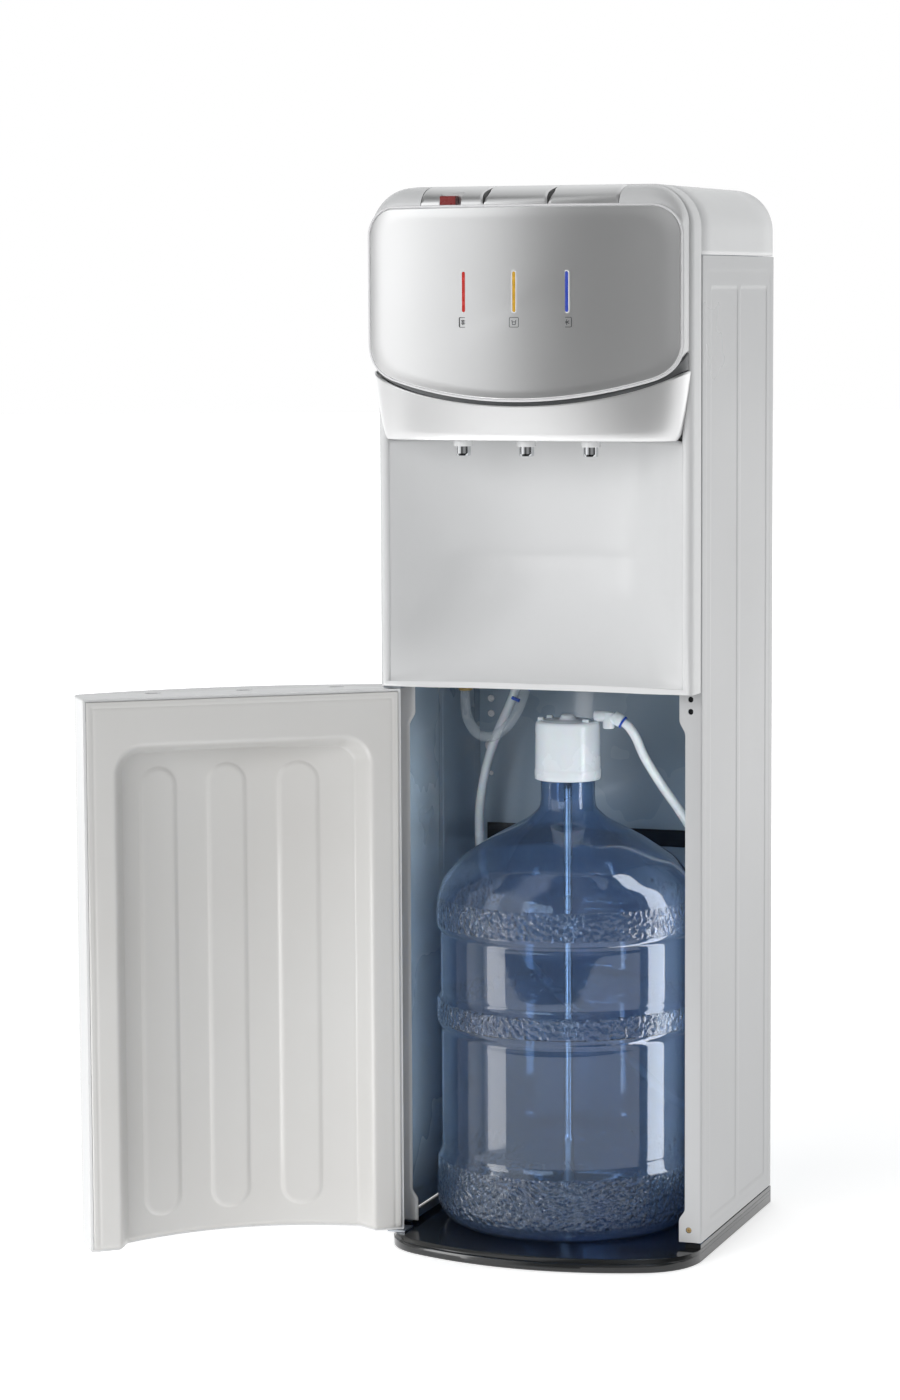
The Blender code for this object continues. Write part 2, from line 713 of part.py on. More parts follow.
def make_head():
    shell = add("head_shell", head_solid(), WHITE)
    boolean(shell, head_solid(inset=0.003, back_y=HEAD_BACK_Y + 0.010))
    pocket_low = BUTTON_LOW - BUTTON_ROOM
    pocket = slab(button_outline(-BUTTON_EDGE, BUTTON_EDGE, 0.0006), pocket_low, 1.07)
    boolean(shell, pocket)
    edge = PANEL_CORNER_X
    low = [(x, panel_low_curve(x)) for x in spread(-edge, edge, 13)][1:-1]
    right = list(reversed(panel_corner_low()))
    left = [(-x, z) for x, z in reversed(right)]
    shoulder = PANEL_HALF - PANEL_RADIUS
    top_right = arc((shoulder, PANEL_TOP - PANEL_RADIUS), PANEL_RADIUS, 0, 90, 5)
    top_left = [(-x, z) for x, z in reversed(top_right)]
    top = [(x, PANEL_TOP) for x in spread(shoulder, -shoulder, 7)[1:-1]]
    outline = [*low, *right, (PANEL_HALF, 0.955), *top_right, *top, *top_left]
    outline += [(-PANEL_HALF, 0.955), *left]
    rings = []
    for share in (1.0, 0.75, 0.5, 0.25, 0.02):
        ring = [(x * share, PANEL_CENTRE_Z + (z - PANEL_CENTRE_Z) * share) for x, z in outline]
        rings.append([(x, panel_y(x), z) for x, z in ring])
    panel = add("head_panel", surface(rings, closed=True, last_filled=True), SILVER)
    thicken(panel, PANEL_THICK)
    slots = []
    for name, side, colour in (
        ("hot_indicator", -1, RED_GLOW),
        ("room_indicator", 0, AMBER_GLOW),
        ("cold_indicator", 1, BLUE_GLOW),
    ):
        x = side * INDICATOR_SPACING
        wide, tall = INDICATOR_HALF
        front = panel_y(x) - 0.0002
        low = (x - wide, front, INDICATOR_Z - tall)
        high = (x + wide, front + 0.003, INDICATOR_Z + tall)
        add(name, box(low, high), colour)
        slots.append(
            box(
                (low[0] - GAP, front - 0.005, low[2] - GAP),
                (high[0] + GAP, front + 0.008, high[2] + GAP),
            )
        )
    boolean(panel, together(*slots))


def wrap_y(x, half, middle_y, power=2.6):
    """A bowed plan that turns back to the head's rear plane at its two ends."""
    back = HEAD_BACK_Y - 0.0004
    return back + (middle_y - back) * max(0.0, 1 - abs(x / half) ** power) ** (1 / power)


def fascia_top(x):
    return panel_low_curve(x) - 0.007 + 0.007 * (x / PANEL_HALF) ** 6


def make_fascia():
    turns = [math.radians(a) for a in spread(-90, 90, 21)]
    rows = []
    for share in (0.0, 0.5, 1.0):
        half = 0.1476 + 0.0124 * share**0.6
        middle_y = -0.076 - 0.0115 * share
        row = []
        for turn in turns:
            x = half * math.sin(turn)
            z = TAP_PLATE_Z + (fascia_top(x) - TAP_PLATE_Z) * share
            row.append((x, wrap_y(x, half, middle_y), z))
        rows.append(row)
    thicken(add("spout_fascia", surface(rows), SILVER), 0.002)
    rows = []
    half = 0.1582
    xs = [half * math.sin(turn) for turn in turns]
    rows.append([(x, wrap_y(x, half, -0.081), fascia_top(x) + 0.0018) for x in xs])
    rows.append([(x, wrap_y(x, half, -0.081), panel_low(x) + 0.0028) for x in xs])
    thicken(add("head_trim_strip", surface(rows), TRIM_GREY), 0.0015)
    half = 0.1438
    front = [(x, wrap_y(x, half, -0.0722) + 0.0006) for x in spread(-half, half, 17)]
    outline = [*front, (half, 0.038), (-half, 0.038)]
    plate = add("tap_plate", slab(outline, TAP_PLATE_Z + 0.0002, TAP_PLATE_Z + 0.0027), WHITE)
    holes = [
        cylinder((x, TAP_Y, 0.80), (x, TAP_Y, 0.83), 0.0096, 20)
        for x in (-TAP_SPACING, 0.0, TAP_SPACING)
    ]
    boolean(plate, together(*holes))


def make_taps():
    nozzle = [(0.0060, 0.822), (NOZZLE_RADIUS, 0.8215), (NOZZLE_RADIUS, 0.7985)]
    nozzle += [(0.0066, NOZZLE_LOW), (0.0052, NOZZLE_LOW), (0.0048, 0.799), (0.0048, 0.822)]
    valve = [(0.0, 0.8435), (0.0092, 0.8435), (0.0092, 0.8065), (0.0086, 0.806)]
    valve += [(0.0076, 0.806), (0.0076, 0.8225), (0.0040, 0.8230), (0.0040, 0.838), (0.0, 0.838)]
    for name, side in (("hot", -1), ("room", 0), ("cold", 1)):
        centre = (side * TAP_SPACING, TAP_Y, 0.0)
        turned(f"{name}_nozzle", nozzle, centre, CHROME, 20)
        turned(f"{name}_tap_valve", valve, centre, WHITE, 20)


# Tanks, cooling and wiring above the bay


def tank_profile(radius, low, high):
    """A thin-walled tank with a vent hole in its top, down its outer side and up its inner one."""
    wall, shoulder, vent = 0.0012, 0.011, 0.004
    outer = [(vent, high), (radius - shoulder, high), (radius, high - shoulder)]
    outer += [(radius, low + shoulder), (radius - shoulder, low), (0.0, low)]
    inner = [(0.0, low + wall), (radius - shoulder, low + wall), (radius - wall, low + shoulder)]
    inner += [(radius - wall, high - shoulder), (radius - shoulder, high - wall), (vent, high - wall)]
    return outer + inner


def make_internals():
    turned("hot_tank", tank_profile(0.047, 0.835, 0.965), (-0.080, 0.150, 0.0), STEEL)
    turned("cold_tank", tank_profile(0.058, 0.805, 0.960), (0.070, 0.150, 0.0), STEEL)
    jacket = [(0.0590, 0.955), (0.0740, 0.955), (0.0740, 0.815), (0.0590, 0.815)]
    turned("cold_tank_insulation", jacket, (0.070, 0.150, 0.0), FOAM)
    fins = 9
    pitch = 0.010
    low_x = 0.070 - pitch * (fins - 1) / 2 - 0.002
    high_x = low_x + pitch * (fins - 1) + 0.004
    outline = [(high_x, 0.800), (low_x, 0.800)]
    for fin in range(fins):
        x = low_x + pitch * fin
        outline += [(x, 0.760), (x + 0.004, 0.760)]
        if fin < fins - 1:
            outline += [(x + 0.004, 0.794), (x + pitch, 0.794)]
    add("heat_sink", slab(outline, 0.110, 0.190, "Y"), ALUMINIUM)
    add("control_box", box((-0.130, 0.205, 0.640), (-0.020, 0.248, 0.760)), BLACK)
    for name, start in (
        ("hot", (-0.080, 0.1020, 0.900)),
        ("room", (-0.006, 0.150, 0.5760)),
        ("cold", (0.070, 0.0748, 0.890)),
    ):
        side = {"hot": -1, "room": 0, "cold": 1}[name]
        x = side * TAP_SPACING
        end = Vector((x, TAP_Y + 0.0096, 0.834))
        if name == "room":
            route = [start, (-0.006, 0.148, 0.62), (-0.005, 0.120, 0.80), (-0.002, 0.070, 0.850)]
        else:
            route = [start, (start[0] * 0.98, start[1] - 0.020, start[2])]
        route += [(x, 0.020, 0.842), (x, TAP_Y + 0.030, 0.834), end]
        tube(f"{name}_water_hose", route, 0.004, SILICONE, spacing_diameters=4.0)


def make_rear_fittings():
    plate_low, plate_high = (0.0865, BACK_Y + 0.0013, 0.871), (0.1335, BACK_Y + 0.0035, 0.909)
    plate = add("switch_plate", box(plate_low, plate_high), BLACK)
    openings = []
    for name, x in (("heat_switch", 0.100), ("cool_switch", 0.120)):
        axis = empty(f"{name}_axis", (x, BACK_Y + 0.0010, 0.890))
        outer_y = BACK_Y + 0.0055
        outline = [
            (BACK_Y - 0.0035, 0.8800),
            (BACK_Y - 0.0035, 0.9000),
            (outer_y + 0.0022, 0.9000),
            (outer_y, 0.8900),
            (outer_y, 0.8800),
        ]
        rocker = slab(list(reversed(outline)), x - 0.0065, x + 0.0065, "X")
        add(name, rocker, RED if name == "heat_switch" else BLACK, axis)
        openings.append(
            box((x - 0.0072, BACK_Y - 0.002, 0.8782), (x + 0.0072, BACK_Y + 0.008, 0.9018))
        )
    boolean(plate, together(*openings))
    gland = [(0.0, 0.0085), (0.0050, 0.0085), (0.0075, 0.0040), (0.0110, 0.0035)]
    gland += [(0.0110, 0.0), (0.0, 0.0)]
    turned("cord_gland", gland, (-0.110, BACK_Y + SHEET + GAP, 0.640), RUBBER, 20, along_y=True)
    plug = [(0.0, 0.0080), (0.0120, 0.0080), (0.0130, 0.0070), (0.0130, 0.0), (0.0, 0.0)]
    turned("drain_cap", plug, (0.0, BACK_Y + SHEET + GAP, 0.600), WHITE, 20, along_y=True)


# Door, hinged on the left


def door_front_y(x):
    return DOOR_MID_Y + (DOOR_EDGE_Y - DOOR_MID_Y) * (x / HALF_WIDTH) ** 2


def door_outline(inset=0.0, back_y=DOOR_BACK_Y):
    """The door from above, anticlockwise from its rear right."""
    half = HALF_WIDTH - inset
    radius = 0.010 - inset
    corner_x = half - radius
    corner_y = door_front_y(corner_x) + inset + radius
    front = [(x, door_front_y(x) + inset) for x in spread(-corner_x, corner_x, 13)]
    left = arc((-corner_x, corner_y), radius, 180, 262, 4)[:-1]
    right = [(-x, y) for x, y in reversed(left)]
    return [(half, back_y), (-half, back_y), *left, *front, *right]


def recess_depth(x, z):
    """How deep the liner's recess is at a place on the door, its sides sloping and corners rounded."""
    from_side = RECESS_HALF - abs(x)
    from_top = RECESS_TOP - z
    if from_side < RECESS_CORNER and from_top < RECESS_CORNER:
        reach = math.hypot(RECESS_CORNER - from_side, RECESS_CORNER - from_top)
        inside = RECESS_CORNER - reach
    else:
        inside = min(from_side, from_top)
    share = max(0.0, min(1.0, inside / RECESS_WALL))
    floor_x = RECESS_HALF - RECESS_WALL
    fall = RECESS_MID_DEPTH - RECESS_SIDE_DEPTH
    floor = RECESS_MID_DEPTH - fall * min(1.0, abs(x) / floor_x) ** 2
    return floor * share


def make_door():
    hinge = empty("door_hinge_axis", (HINGE_X, HINGE_Y, 0.0))
    skin = add("door_skin", slab(door_outline(), DOOR_LOW, DOOR_HIGH), WHITE, hinge)
    hollow = slab(door_outline(WALL, DOOR_BACK_Y + 0.010), DOOR_LOW + WALL, DOOR_HIGH - WALL)
    boolean(skin, hollow)
    floor = [
        (x, DOOR_BACK_Y - recess_depth(x, 0.2) - 0.0026) for x in spread(-0.1175, 0.1175, 11)
    ]
    mouth = [(RECESS_HALF, 0.010), (-RECESS_HALF, 0.010), (-RECESS_HALF, DOOR_BACK_Y - 0.0026)]
    notch = [*mouth, *floor, (RECESS_HALF, DOOR_BACK_Y - 0.0026)]
    boolean(skin, slab(notch, DOOR_LOW - 0.010, DOOR_LOW + WALL + 0.001))
    pin_holes = [
        cylinder((HINGE_X, HINGE_Y, low), (HINGE_X, HINGE_Y, high), PIN_HOLE_RADIUS, 16)
        for low, high in ((DOOR_LOW - 0.005, 0.030), (0.548, DOOR_HIGH + 0.005))
    ]
    boolean(skin, together(*pin_holes))

    edge = HALF_WIDTH - WALL - GAP
    half_row = [0.0, 0.030, 0.060, 0.090, 0.1175, 0.1225, 0.1265, RECESS_HALF, 0.142, edge]
    across = [-x for x in reversed(half_row[1:])] + half_row
    levels = [DOOR_LOW + WALL + GAP, 0.180, 0.340, 0.480]
    levels += [0.494, 0.499, 0.505, 0.510, 0.515, RECESS_TOP, DOOR_HIGH - WALL - GAP]
    rows = []
    for z in levels:
        rows.append([(x, DOOR_BACK_Y - recess_depth(x, z), z) for x in across])
    liner = thicken(add("door_liner", surface(rows, flip=True), DOOR_WHITE, hinge), 0.0022)
    liner.modifiers["wall"].use_even_offset = False
    strike = box((0.1425, -0.0075, 0.541), (0.1565, -0.0050, 0.5605))
    add("door_strike", strike, ZINC, hinge)
    hinge.rotation_euler = (0.0, 0.0, -math.radians(DOOR_OPEN_DEG))

    for name, low, high, pin_low, pin_high in (
        ("upper", DOOR_HIGH + 0.0008, FRAME_LOW - GAP, 0.551, FRAME_LOW - GAP),
        ("lower", BASE_TOP + GAP, DOOR_LOW - 0.0006, BASE_TOP + GAP, 0.0270),
    ):
        plate = add(f"{name}_hinge", box((-0.1596, -0.030, low), (-0.1412, -0.0060, high)), ZINC)
        below, above = (HINGE_X, HINGE_Y, low - 0.005), (HINGE_X, HINGE_Y, high + 0.005)
        hole = cylinder(below, above, PIN_HOLE_RADIUS, 16)
        boolean(plate, hole)
        pin = cylinder((HINGE_X, HINGE_Y, pin_low), (HINGE_X, HINGE_Y, pin_high), PIN_RADIUS, 16)
        add(f"{name}_hinge_pin", pin, STEEL)


# Bottle, pump cap and hoses


def make_bottle():
    slide = empty("bottle_slide_axis", (BOTTLE_X, BOTTLE_Y, BOTTLE_Z))
    centre = (BOTTLE_X, BOTTLE_Y, 0.0)
    profile = [
        (NECK_RADIUS, NECK_TOP),
        (NECK_RADIUS, 0.442),
        (0.0315, 0.433),
        (0.0450, 0.423),
        (0.0770, 0.4055),
        (0.1110, 0.3835),
        (0.1270, 0.3640),
        (0.1340, 0.3420),
        (0.1340, 0.3190),
        (0.1300, 0.3120),
        (0.1300, 0.2480),
        (0.1340, 0.2400),
        (0.1340, 0.2220),
        (0.1290, 0.2120),
        (0.1290, 0.0900),
        (0.1340, 0.0800),
        (0.1340, 0.0370),
        (0.1280, 0.0220),
        (0.1130, BOTTLE_Z),
        (0.0900, BOTTLE_Z),
        (0.0600, 0.0190),
        (0.0, 0.0215),
    ]
    bottle = turned("bottle", profile, centre, BLUE_PC, 30, parent=slide)
    wall = bottle.modifiers.new("wall", "SOLIDIFY")
    wall.thickness = 0.0018
    wall.offset = -1.0

    outer = [
        (0.0, CAP_TOP),
        (0.0075, CAP_TOP - 0.0005),
        (0.0090, 0.5265),
        (0.0300, 0.5250),
        (0.0325, 0.5225),
        (0.0335, CAP_LOW + 0.002),
        (0.0330, CAP_LOW),
    ]
    inner = [(0.0285, CAP_LOW), (0.0285, 0.5050), (0.0, 0.5050)]
    turned("pump_cap", outer + inner, centre, WHITE, 32, parent=slide)

    dip = [(0.0, 0.5040), (0.0040, 0.5040), (0.0040, 0.1000), (0.0055, 0.0980)]
    dip += [(0.0055, 0.0300), (0.0, 0.0300)]
    turned("dip_tube", dip, centre, STEEL, 12, parent=slide)

    spigot = cylinder((0.0170, 0.0900, 0.5225), (0.0400, 0.0900, 0.5330), 0.0068, 14)
    elbow = add("cap_fitting", spigot, HOSE, slide)
    boolean(elbow, cylinder((0.0345, 0.0900, 0.5345), (0.0505, 0.0905, 0.5245), 0.0072, 14), "UNION")
    clear = cylinder((BOTTLE_X, BOTTLE_Y, 0.46), (BOTTLE_X, BOTTLE_Y, 0.5262), 0.0340, 32)
    boolean(elbow, clear)


def make_hoses():
    suction = [
        (0.0512, 0.0905, 0.5240),
        (0.0571, 0.0907, 0.5203),
        (0.0640, 0.0955, 0.5080),
        (0.0705, 0.1045, 0.4870),
        (0.0850, 0.1160, 0.4580),
        (0.1000, 0.1270, 0.4320),
        (0.1130, 0.1410, 0.4040),
        (0.1270, 0.1630, 0.3680),
        (0.1380, 0.1880, 0.3200),
        (0.1425, 0.2060, 0.2600),
        (0.1415, 0.2150, 0.2000),
        (0.1400, 0.2165, 0.1600),
        (0.1400, 0.2165, 0.1283),
    ]
    tube("suction_hose", suction, SUCTION_RADIUS, HOSE)
    delivery = [
        (0.0985, 0.2370, 0.1030),
        (0.0880, 0.2372, 0.1030),
        (0.0700, 0.2390, 0.1055),
        (0.0530, 0.2400, 0.1150),
        (0.0260, 0.2410, 0.1380),
        (-0.0070, 0.2410, 0.1630),
        (-0.0500, 0.2400, 0.1980),
        (-0.0950, 0.2340, 0.2460),
        (-0.1270, 0.2150, 0.3050),
        (-0.1355, 0.1960, 0.3550),
        (-0.1360, 0.1880, 0.3940),
        (-0.1335, 0.1850, 0.4260),
        (-0.1260, 0.1840, 0.4630),
        (-0.1150, 0.1840, 0.4950),
        (-0.0985, 0.1830, 0.5310),
        (-0.0915, 0.1820, 0.5520),
        (-0.0900, 0.1820, CEILING_Z - GAP),
    ]
    tube("delivery_hose", delivery, SUCTION_RADIUS, HOSE)
    loop = [
        (-0.0770, 0.1680, CEILING_Z - GAP),
        (-0.0775, 0.1680, 0.5480),
        (-0.0850, 0.1680, 0.5260),
        (-0.0980, 0.1680, 0.5060),
        (-0.1160, 0.1680, 0.4945),
        (-0.1320, 0.1680, 0.4990),
        (-0.1420, 0.1680, 0.5160),
        (-0.1440, 0.1680, 0.5370),
        (-0.1440, 0.1680, CEILING_Z - GAP),
    ]
    tube("drain_loop_hose", loop, LOOP_RADIUS, SILICONE)
    low_z = BASE_RIM_TOP + GAP
    motor = cylinder((PUMP_X, PUMP_Y, low_z), (PUMP_X, PUMP_Y, 0.0900), 0.0205, 20)
    pump = add("water_pump", motor, BLACK)
    head = box((0.1060, 0.2060, 0.0890), (0.1480, 0.2480, 0.1180))
    boolean(pump, head, "UNION")
    inlet = cylinder((0.1400, 0.2165, 0.1150), (0.1400, 0.2165, 0.1280), PUMP_SPIGOT_RADIUS, 12)
    boolean(pump, inlet, "UNION")
    outlet = cylinder((0.1100, 0.2370, 0.1030), (0.0990, 0.2370, 0.1030), PUMP_SPIGOT_RADIUS, 12)
    boolean(pump, outlet, "UNION")


make_base()
make_side_panels()
make_back_panel()
make_top_cover()
make_front_frame()
make_niche()
make_buttons()
make_head()
make_fascia()
make_taps()
make_internals()
make_rear_fittings()
make_door()
make_bottle()
make_hoses()
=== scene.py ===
"""The looks of a floor-standing bottom-loading water dispenser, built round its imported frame.

Metres, +Z up, the front towards -Y. A piece that replaces a CAD node keeps that node's place and size.
"""

import math

import bmesh
import bpy
from mathutils import Matrix, Vector, noise


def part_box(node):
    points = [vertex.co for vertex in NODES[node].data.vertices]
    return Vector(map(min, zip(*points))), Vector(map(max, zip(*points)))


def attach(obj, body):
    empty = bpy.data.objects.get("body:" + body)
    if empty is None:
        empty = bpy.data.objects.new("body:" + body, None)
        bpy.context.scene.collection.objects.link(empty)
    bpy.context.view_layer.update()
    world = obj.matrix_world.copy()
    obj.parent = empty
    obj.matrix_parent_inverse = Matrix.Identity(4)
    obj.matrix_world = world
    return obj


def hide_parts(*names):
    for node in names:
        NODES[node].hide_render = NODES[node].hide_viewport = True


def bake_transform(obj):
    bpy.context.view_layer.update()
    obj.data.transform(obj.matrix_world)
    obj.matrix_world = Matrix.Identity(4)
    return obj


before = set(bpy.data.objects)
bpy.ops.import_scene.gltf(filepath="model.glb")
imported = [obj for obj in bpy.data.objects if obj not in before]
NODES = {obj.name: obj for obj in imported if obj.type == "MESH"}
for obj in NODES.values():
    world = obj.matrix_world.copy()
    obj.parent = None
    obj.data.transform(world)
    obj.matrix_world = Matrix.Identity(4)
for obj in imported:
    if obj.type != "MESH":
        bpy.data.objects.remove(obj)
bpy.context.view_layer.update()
SCENE = bpy.context.scene

# Driving sizes, read from the frame
COVER_LOW, COVER_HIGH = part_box("top_cover")
FRAME_LOW_CORNER, FRAME_HIGH_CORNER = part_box("front_frame")
PANEL_LOW_CORNER, PANEL_HIGH_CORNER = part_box("head_panel")
SIDE_LOW_CORNER, SIDE_HIGH_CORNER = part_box("right_side_panel")
BASE_LOW_CORNER, BASE_HIGH_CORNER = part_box("base")
BOTTLE_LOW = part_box("bottle")[0]
BACK_LOW, BACK_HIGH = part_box("back_panel")
HALF_WIDTH = COVER_HIGH.x
DEPTH = COVER_HIGH.y
HEIGHT = COVER_HIGH.z
GAP = 0.0003
WALL = 0.0025
COVER_RADIUS = 0.042

# Side panels
SHEET = 0.001
JAMB_TAB_X, JAMB_MID_X, JAMB_HEAD_X = 0.1375, 0.1435, 0.1535
BAY_TOP = 0.5660
INSERT_X, INSERT_Z = 0.1475, 0.031
# x of the column of holes in the bay's rear panel, where white plugs are painted light, standing in for
# the light seen through the holes
PAINTED_LIT_HOLES_X = -0.146
STAMP_DEPTH = 0.0007
STAMP_RAMP = 0.0035
STAMPS_Y = ((0.031, 0.130), (0.138, 0.240))
STAMPS_Z = (0.035, 0.960)

# Head
HEAD_HALF, HEAD_RADIUS, HEAD_TOP = 0.158, 0.038, 1.056
HEAD_BACK_Y = FRAME_LOW_CORNER.y - GAP
PANEL_HALF = PANEL_HIGH_CORNER.x
PANEL_TOP, PANEL_RADIUS = PANEL_HIGH_CORNER.z, 0.030
PANEL_LOW, PANEL_LOW_RISE = PANEL_LOW_CORNER.z, 0.027
PANEL_CORNER_X, PANEL_CORNER_Z = 0.128, 0.906
PANEL_MID_Y, PANEL_EDGE_Y = PANEL_LOW_CORNER.y, -0.064
PANEL_THICK = 0.003
PLATE_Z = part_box("tap_plate")[0].z - 0.0002
BUTTON_EDGE, BUTTON_GAP_X, BUTTON_BACK_Y = 0.0995, 0.0325, -0.0443
KEY_GAP, KEY_FOOT, WELL_FLOOR = 0.0006, 1.030, 1.025
LOCK_TRAVEL = 0.006
NICHE_HALF, NICHE_LOW, NICHE_HIGH = 0.1503, 0.572, 0.8115

# Door
DOOR_LOW, DOOR_HIGH = 0.0155, 0.5635
DOOR_BACK_Y, DOOR_EDGE_Y, DOOR_MID_Y = -0.002, -0.053, -0.078
DOOR_OPEN = math.radians(-144.0)
HINGE = Vector((-0.1555, -0.0165, 0.0))
RECESS_HALF, RECESS_TOP, RECESS_CORNER = 0.1315, 0.519, 0.030
RECESS_WALL, RECESS_MID_DEPTH, RECESS_SIDE_DEPTH = 0.014, 0.053, 0.024
BEADS_X, BEAD_HALF, BEAD_RISE = (-0.065, 0.007, 0.080), 0.019, 0.0022
BEADS_LOW, BEADS_HIGH = 0.040, 0.489

# Bottle
BOTTLE_X, BOTTLE_Y = -0.005, 0.086
BOTTLE_FOOT = (BOTTLE_X, BOTTLE_Y, 0.0)
BOTTLE_WALL = 0.0014
NECK_TOP = 0.503
CAP_TOP = 0.5250
HAMMERED_BANDS = ((0.3195, 0.3480), (0.2215, 0.2430), (0.0300, 0.0810))
BAND_EDGE = 0.003
DIMPLE_SIZE, DIMPLE_DEPTH = 0.0034, 0.0010
# Noise cells per metre, and the height that they stand for
FINE_GRAIN, FINE_GRAIN_DEPTH = 210.0, 0.0032


# Camera, to the right of the cabinet's front and a little below the height of its top


def make_camera():
    yaw, pitch, roll = (math.radians(a) for a in (19.787, 6.116, -0.310))
    ahead = Vector(
        (-math.sin(yaw) * math.cos(pitch), math.cos(yaw) * math.cos(pitch), -math.sin(pitch))
    )
    level = Vector((math.cos(yaw), math.sin(yaw), 0.0))
    upright = level.cross(ahead)
    right = math.cos(roll) * level + math.sin(roll) * upright
    up = math.cos(roll) * upright - math.sin(roll) * level
    camera = bpy.data.objects.new("camera", bpy.data.cameras.new("camera"))
    SCENE.collection.objects.link(camera)
    camera.matrix_world = Matrix.Translation((1.1819, -3.5640, 0.9567)) @ Matrix(
        (right, up, -ahead)
    ).transposed().to_4x4()
    camera.data.lens = 98.32
    camera.data.sensor_width = 36.0
    camera.data.clip_end = 30.0
    SCENE.camera = camera


# Materials


def material(name, colour, roughness, metallic=0.0, **sockets):
    """A Principled material; a socket's name is written with _ for each space."""
    made = bpy.data.materials.new(name)
    made.use_nodes = True
    shader = made.node_tree.nodes["Principled BSDF"]
    shader.inputs["Base Color"].default_value = (*colour, 1.0)
    shader.inputs["Roughness"].default_value = roughness
    shader.inputs["Metallic"].default_value = metallic
    for socket, value in sockets.items():
        shader.inputs[socket.replace("_", " ")].default_value = value
    return made


def add_node(tree, kind, **sockets):
    """A shader node; a socket takes a number or colour, or the output that is linked to it."""
    made = tree.nodes.new("ShaderNode" + kind)
    for name, value in sockets.items():
        socket = made.inputs[name.replace("_", " ")]
        if isinstance(value, bpy.types.NodeSocket):
            tree.links.new(value, socket)
        else:
            socket.default_value = value
    return made


def calculation(tree, operation, *values):
    """The output of a math node; each value is a number or the output that is linked to it."""
    made = tree.nodes.new("ShaderNodeMath")
    made.operation = operation
    for value, socket in zip(values, made.inputs):
        if isinstance(value, bpy.types.NodeSocket):
            tree.links.new(value, socket)
        else:
            socket.default_value = value
    return made.outputs["Value"]


def map_range(tree, value, span, result=(0.0, 1.0)):
    """The output of a node that maps value from one span to another, and holds it at the ends."""
    made = add_node(
        tree, "MapRange", Value=value, From_Min=span[0], From_Max=span[1], To_Min=result[0],
        To_Max=result[1],
    )
    return made.outputs["Result"]


def object_place(tree):
    """The output for a place on the object, in its own metres."""
    return tree.nodes.new("ShaderNodeTexCoord").outputs["Object"]


def noise_at(tree, scale, detail=2.0, stretch=(1.0, 1.0, 1.0)):
    """A noise value in the object's own metres."""
    mapping = add_node(tree, "Mapping", Vector=object_place(tree), Scale=stretch)
    place = mapping.outputs["Vector"]
    return add_node(tree, "TexNoise", Vector=place, Scale=scale, Detail=detail).outputs["Fac"]


def bump(tree, height, strength, distance, **normal):
    """Turns the surface's normal by a height, on top of another normal where one is given."""
    relief = add_node(
        tree, "Bump", Height=height, Strength=strength, Distance=distance, **normal
    )
    tree.links.new(relief.outputs["Normal"], tree.nodes["Principled BSDF"].inputs["Normal"])


def surface_detail(made, grain, relief, span, patch=9.0, tint=None, stretch=(1.0, 1.0, 1.0)):
    """Fine bump of a grain per metre, and roughness and colour that drift over larger patches."""
    tree = made.node_tree
    shader = tree.nodes["Principled BSDF"]
    bump(tree, noise_at(tree, grain, 3.0, stretch), relief, 0.0006)
    broad = noise_at(tree, patch, 4.0)
    tree.links.new(map_range(tree, broad, (0.3, 0.7), span), shader.inputs["Roughness"])
    ramp = add_node(tree, "ValToRGB", Fac=broad)
    base = shader.inputs["Base Color"].default_value[:]
    low, high = ramp.color_ramp.elements
    low.position, high.position = 0.35, 0.65
    low.color = (*(tint or [c * 0.96 for c in base[:3]]), 1.0)
    high.color = base
    tree.links.new(ramp.outputs["Color"], shader.inputs["Base Color"])
    return made


def flaked(made, cells, amount):
    """Metallic paint: tiny flakes turn the normal."""
    tree = made.node_tree
    flakes = add_node(tree, "TexVoronoi", Vector=object_place(tree), Scale=cells)
    bump(tree, flakes.outputs["Distance"], amount, 0.0002)
    return made


WHITE = surface_detail(
    material("gloss_white", (0.76, 0.765, 0.77), 0.24, Coat_Weight=0.25, Coat_Roughness=0.10),
    90.0, 0.012, (0.21, 0.27), 6.0, (0.745, 0.75, 0.755),
)
LINER = surface_detail(
    material("vacuum_formed_white", (0.65, 0.645, 0.632), 0.34, Coat_Weight=0.15), 70.0, 0.03,
    (0.30, 0.38), 5.0, (0.632, 0.623, 0.607),
)
ENAMEL = surface_detail(
    material("enamelled_sheet", (0.54, 0.544, 0.551), 0.3, Coat_Weight=0.25, Coat_Roughness=0.12),
    110.0, 0.02, (0.27, 0.33), 5.0, (0.53, 0.534, 0.541),
)
SLATE = surface_detail(
    material("slate_enamel", (0.26, 0.335, 0.405), 0.28, Coat_Weight=0.5, Coat_Roughness=0.08),
    80.0, 0.02, (0.25, 0.31), 5.0, (0.25, 0.322, 0.39),
)
ZINC = surface_detail(
    material("zinc_plate", (0.44, 0.47, 0.50), 0.35, 0.85), 120.0, 0.06, (0.28, 0.42), 40.0,
    (0.36, 0.39, 0.43),
)
SILVER = flaked(
    surface_detail(
        material("silver_paint", (0.87, 0.87, 0.87), 0.36, 0.92, Coat_Weight=0.12, Coat_Roughness=0.2),
        90.0, 0.01, (0.34, 0.38), 9.0, (0.855, 0.855, 0.857),
    ),
    900.0, 0.05,
)
RIM_WHITE = material("panel_rim_white", (0.78, 0.78, 0.79), 0.18, Coat_Weight=0.3)
surface_detail(RIM_WHITE, 90.0, 0.01, (0.16, 0.20))
TRIM = surface_detail(
    material("grey_trim", (0.20, 0.205, 0.21), 0.40, 0.3), 120.0, 0.05, (0.36, 0.44), 20.0
)
BLACK = surface_detail(
    material("gloss_black", (0.010, 0.011, 0.012), 0.16, Coat_Weight=0.3, Coat_Roughness=0.06),
    70.0, 0.02, (0.13, 0.20), 7.0, (0.014, 0.015, 0.016),
)
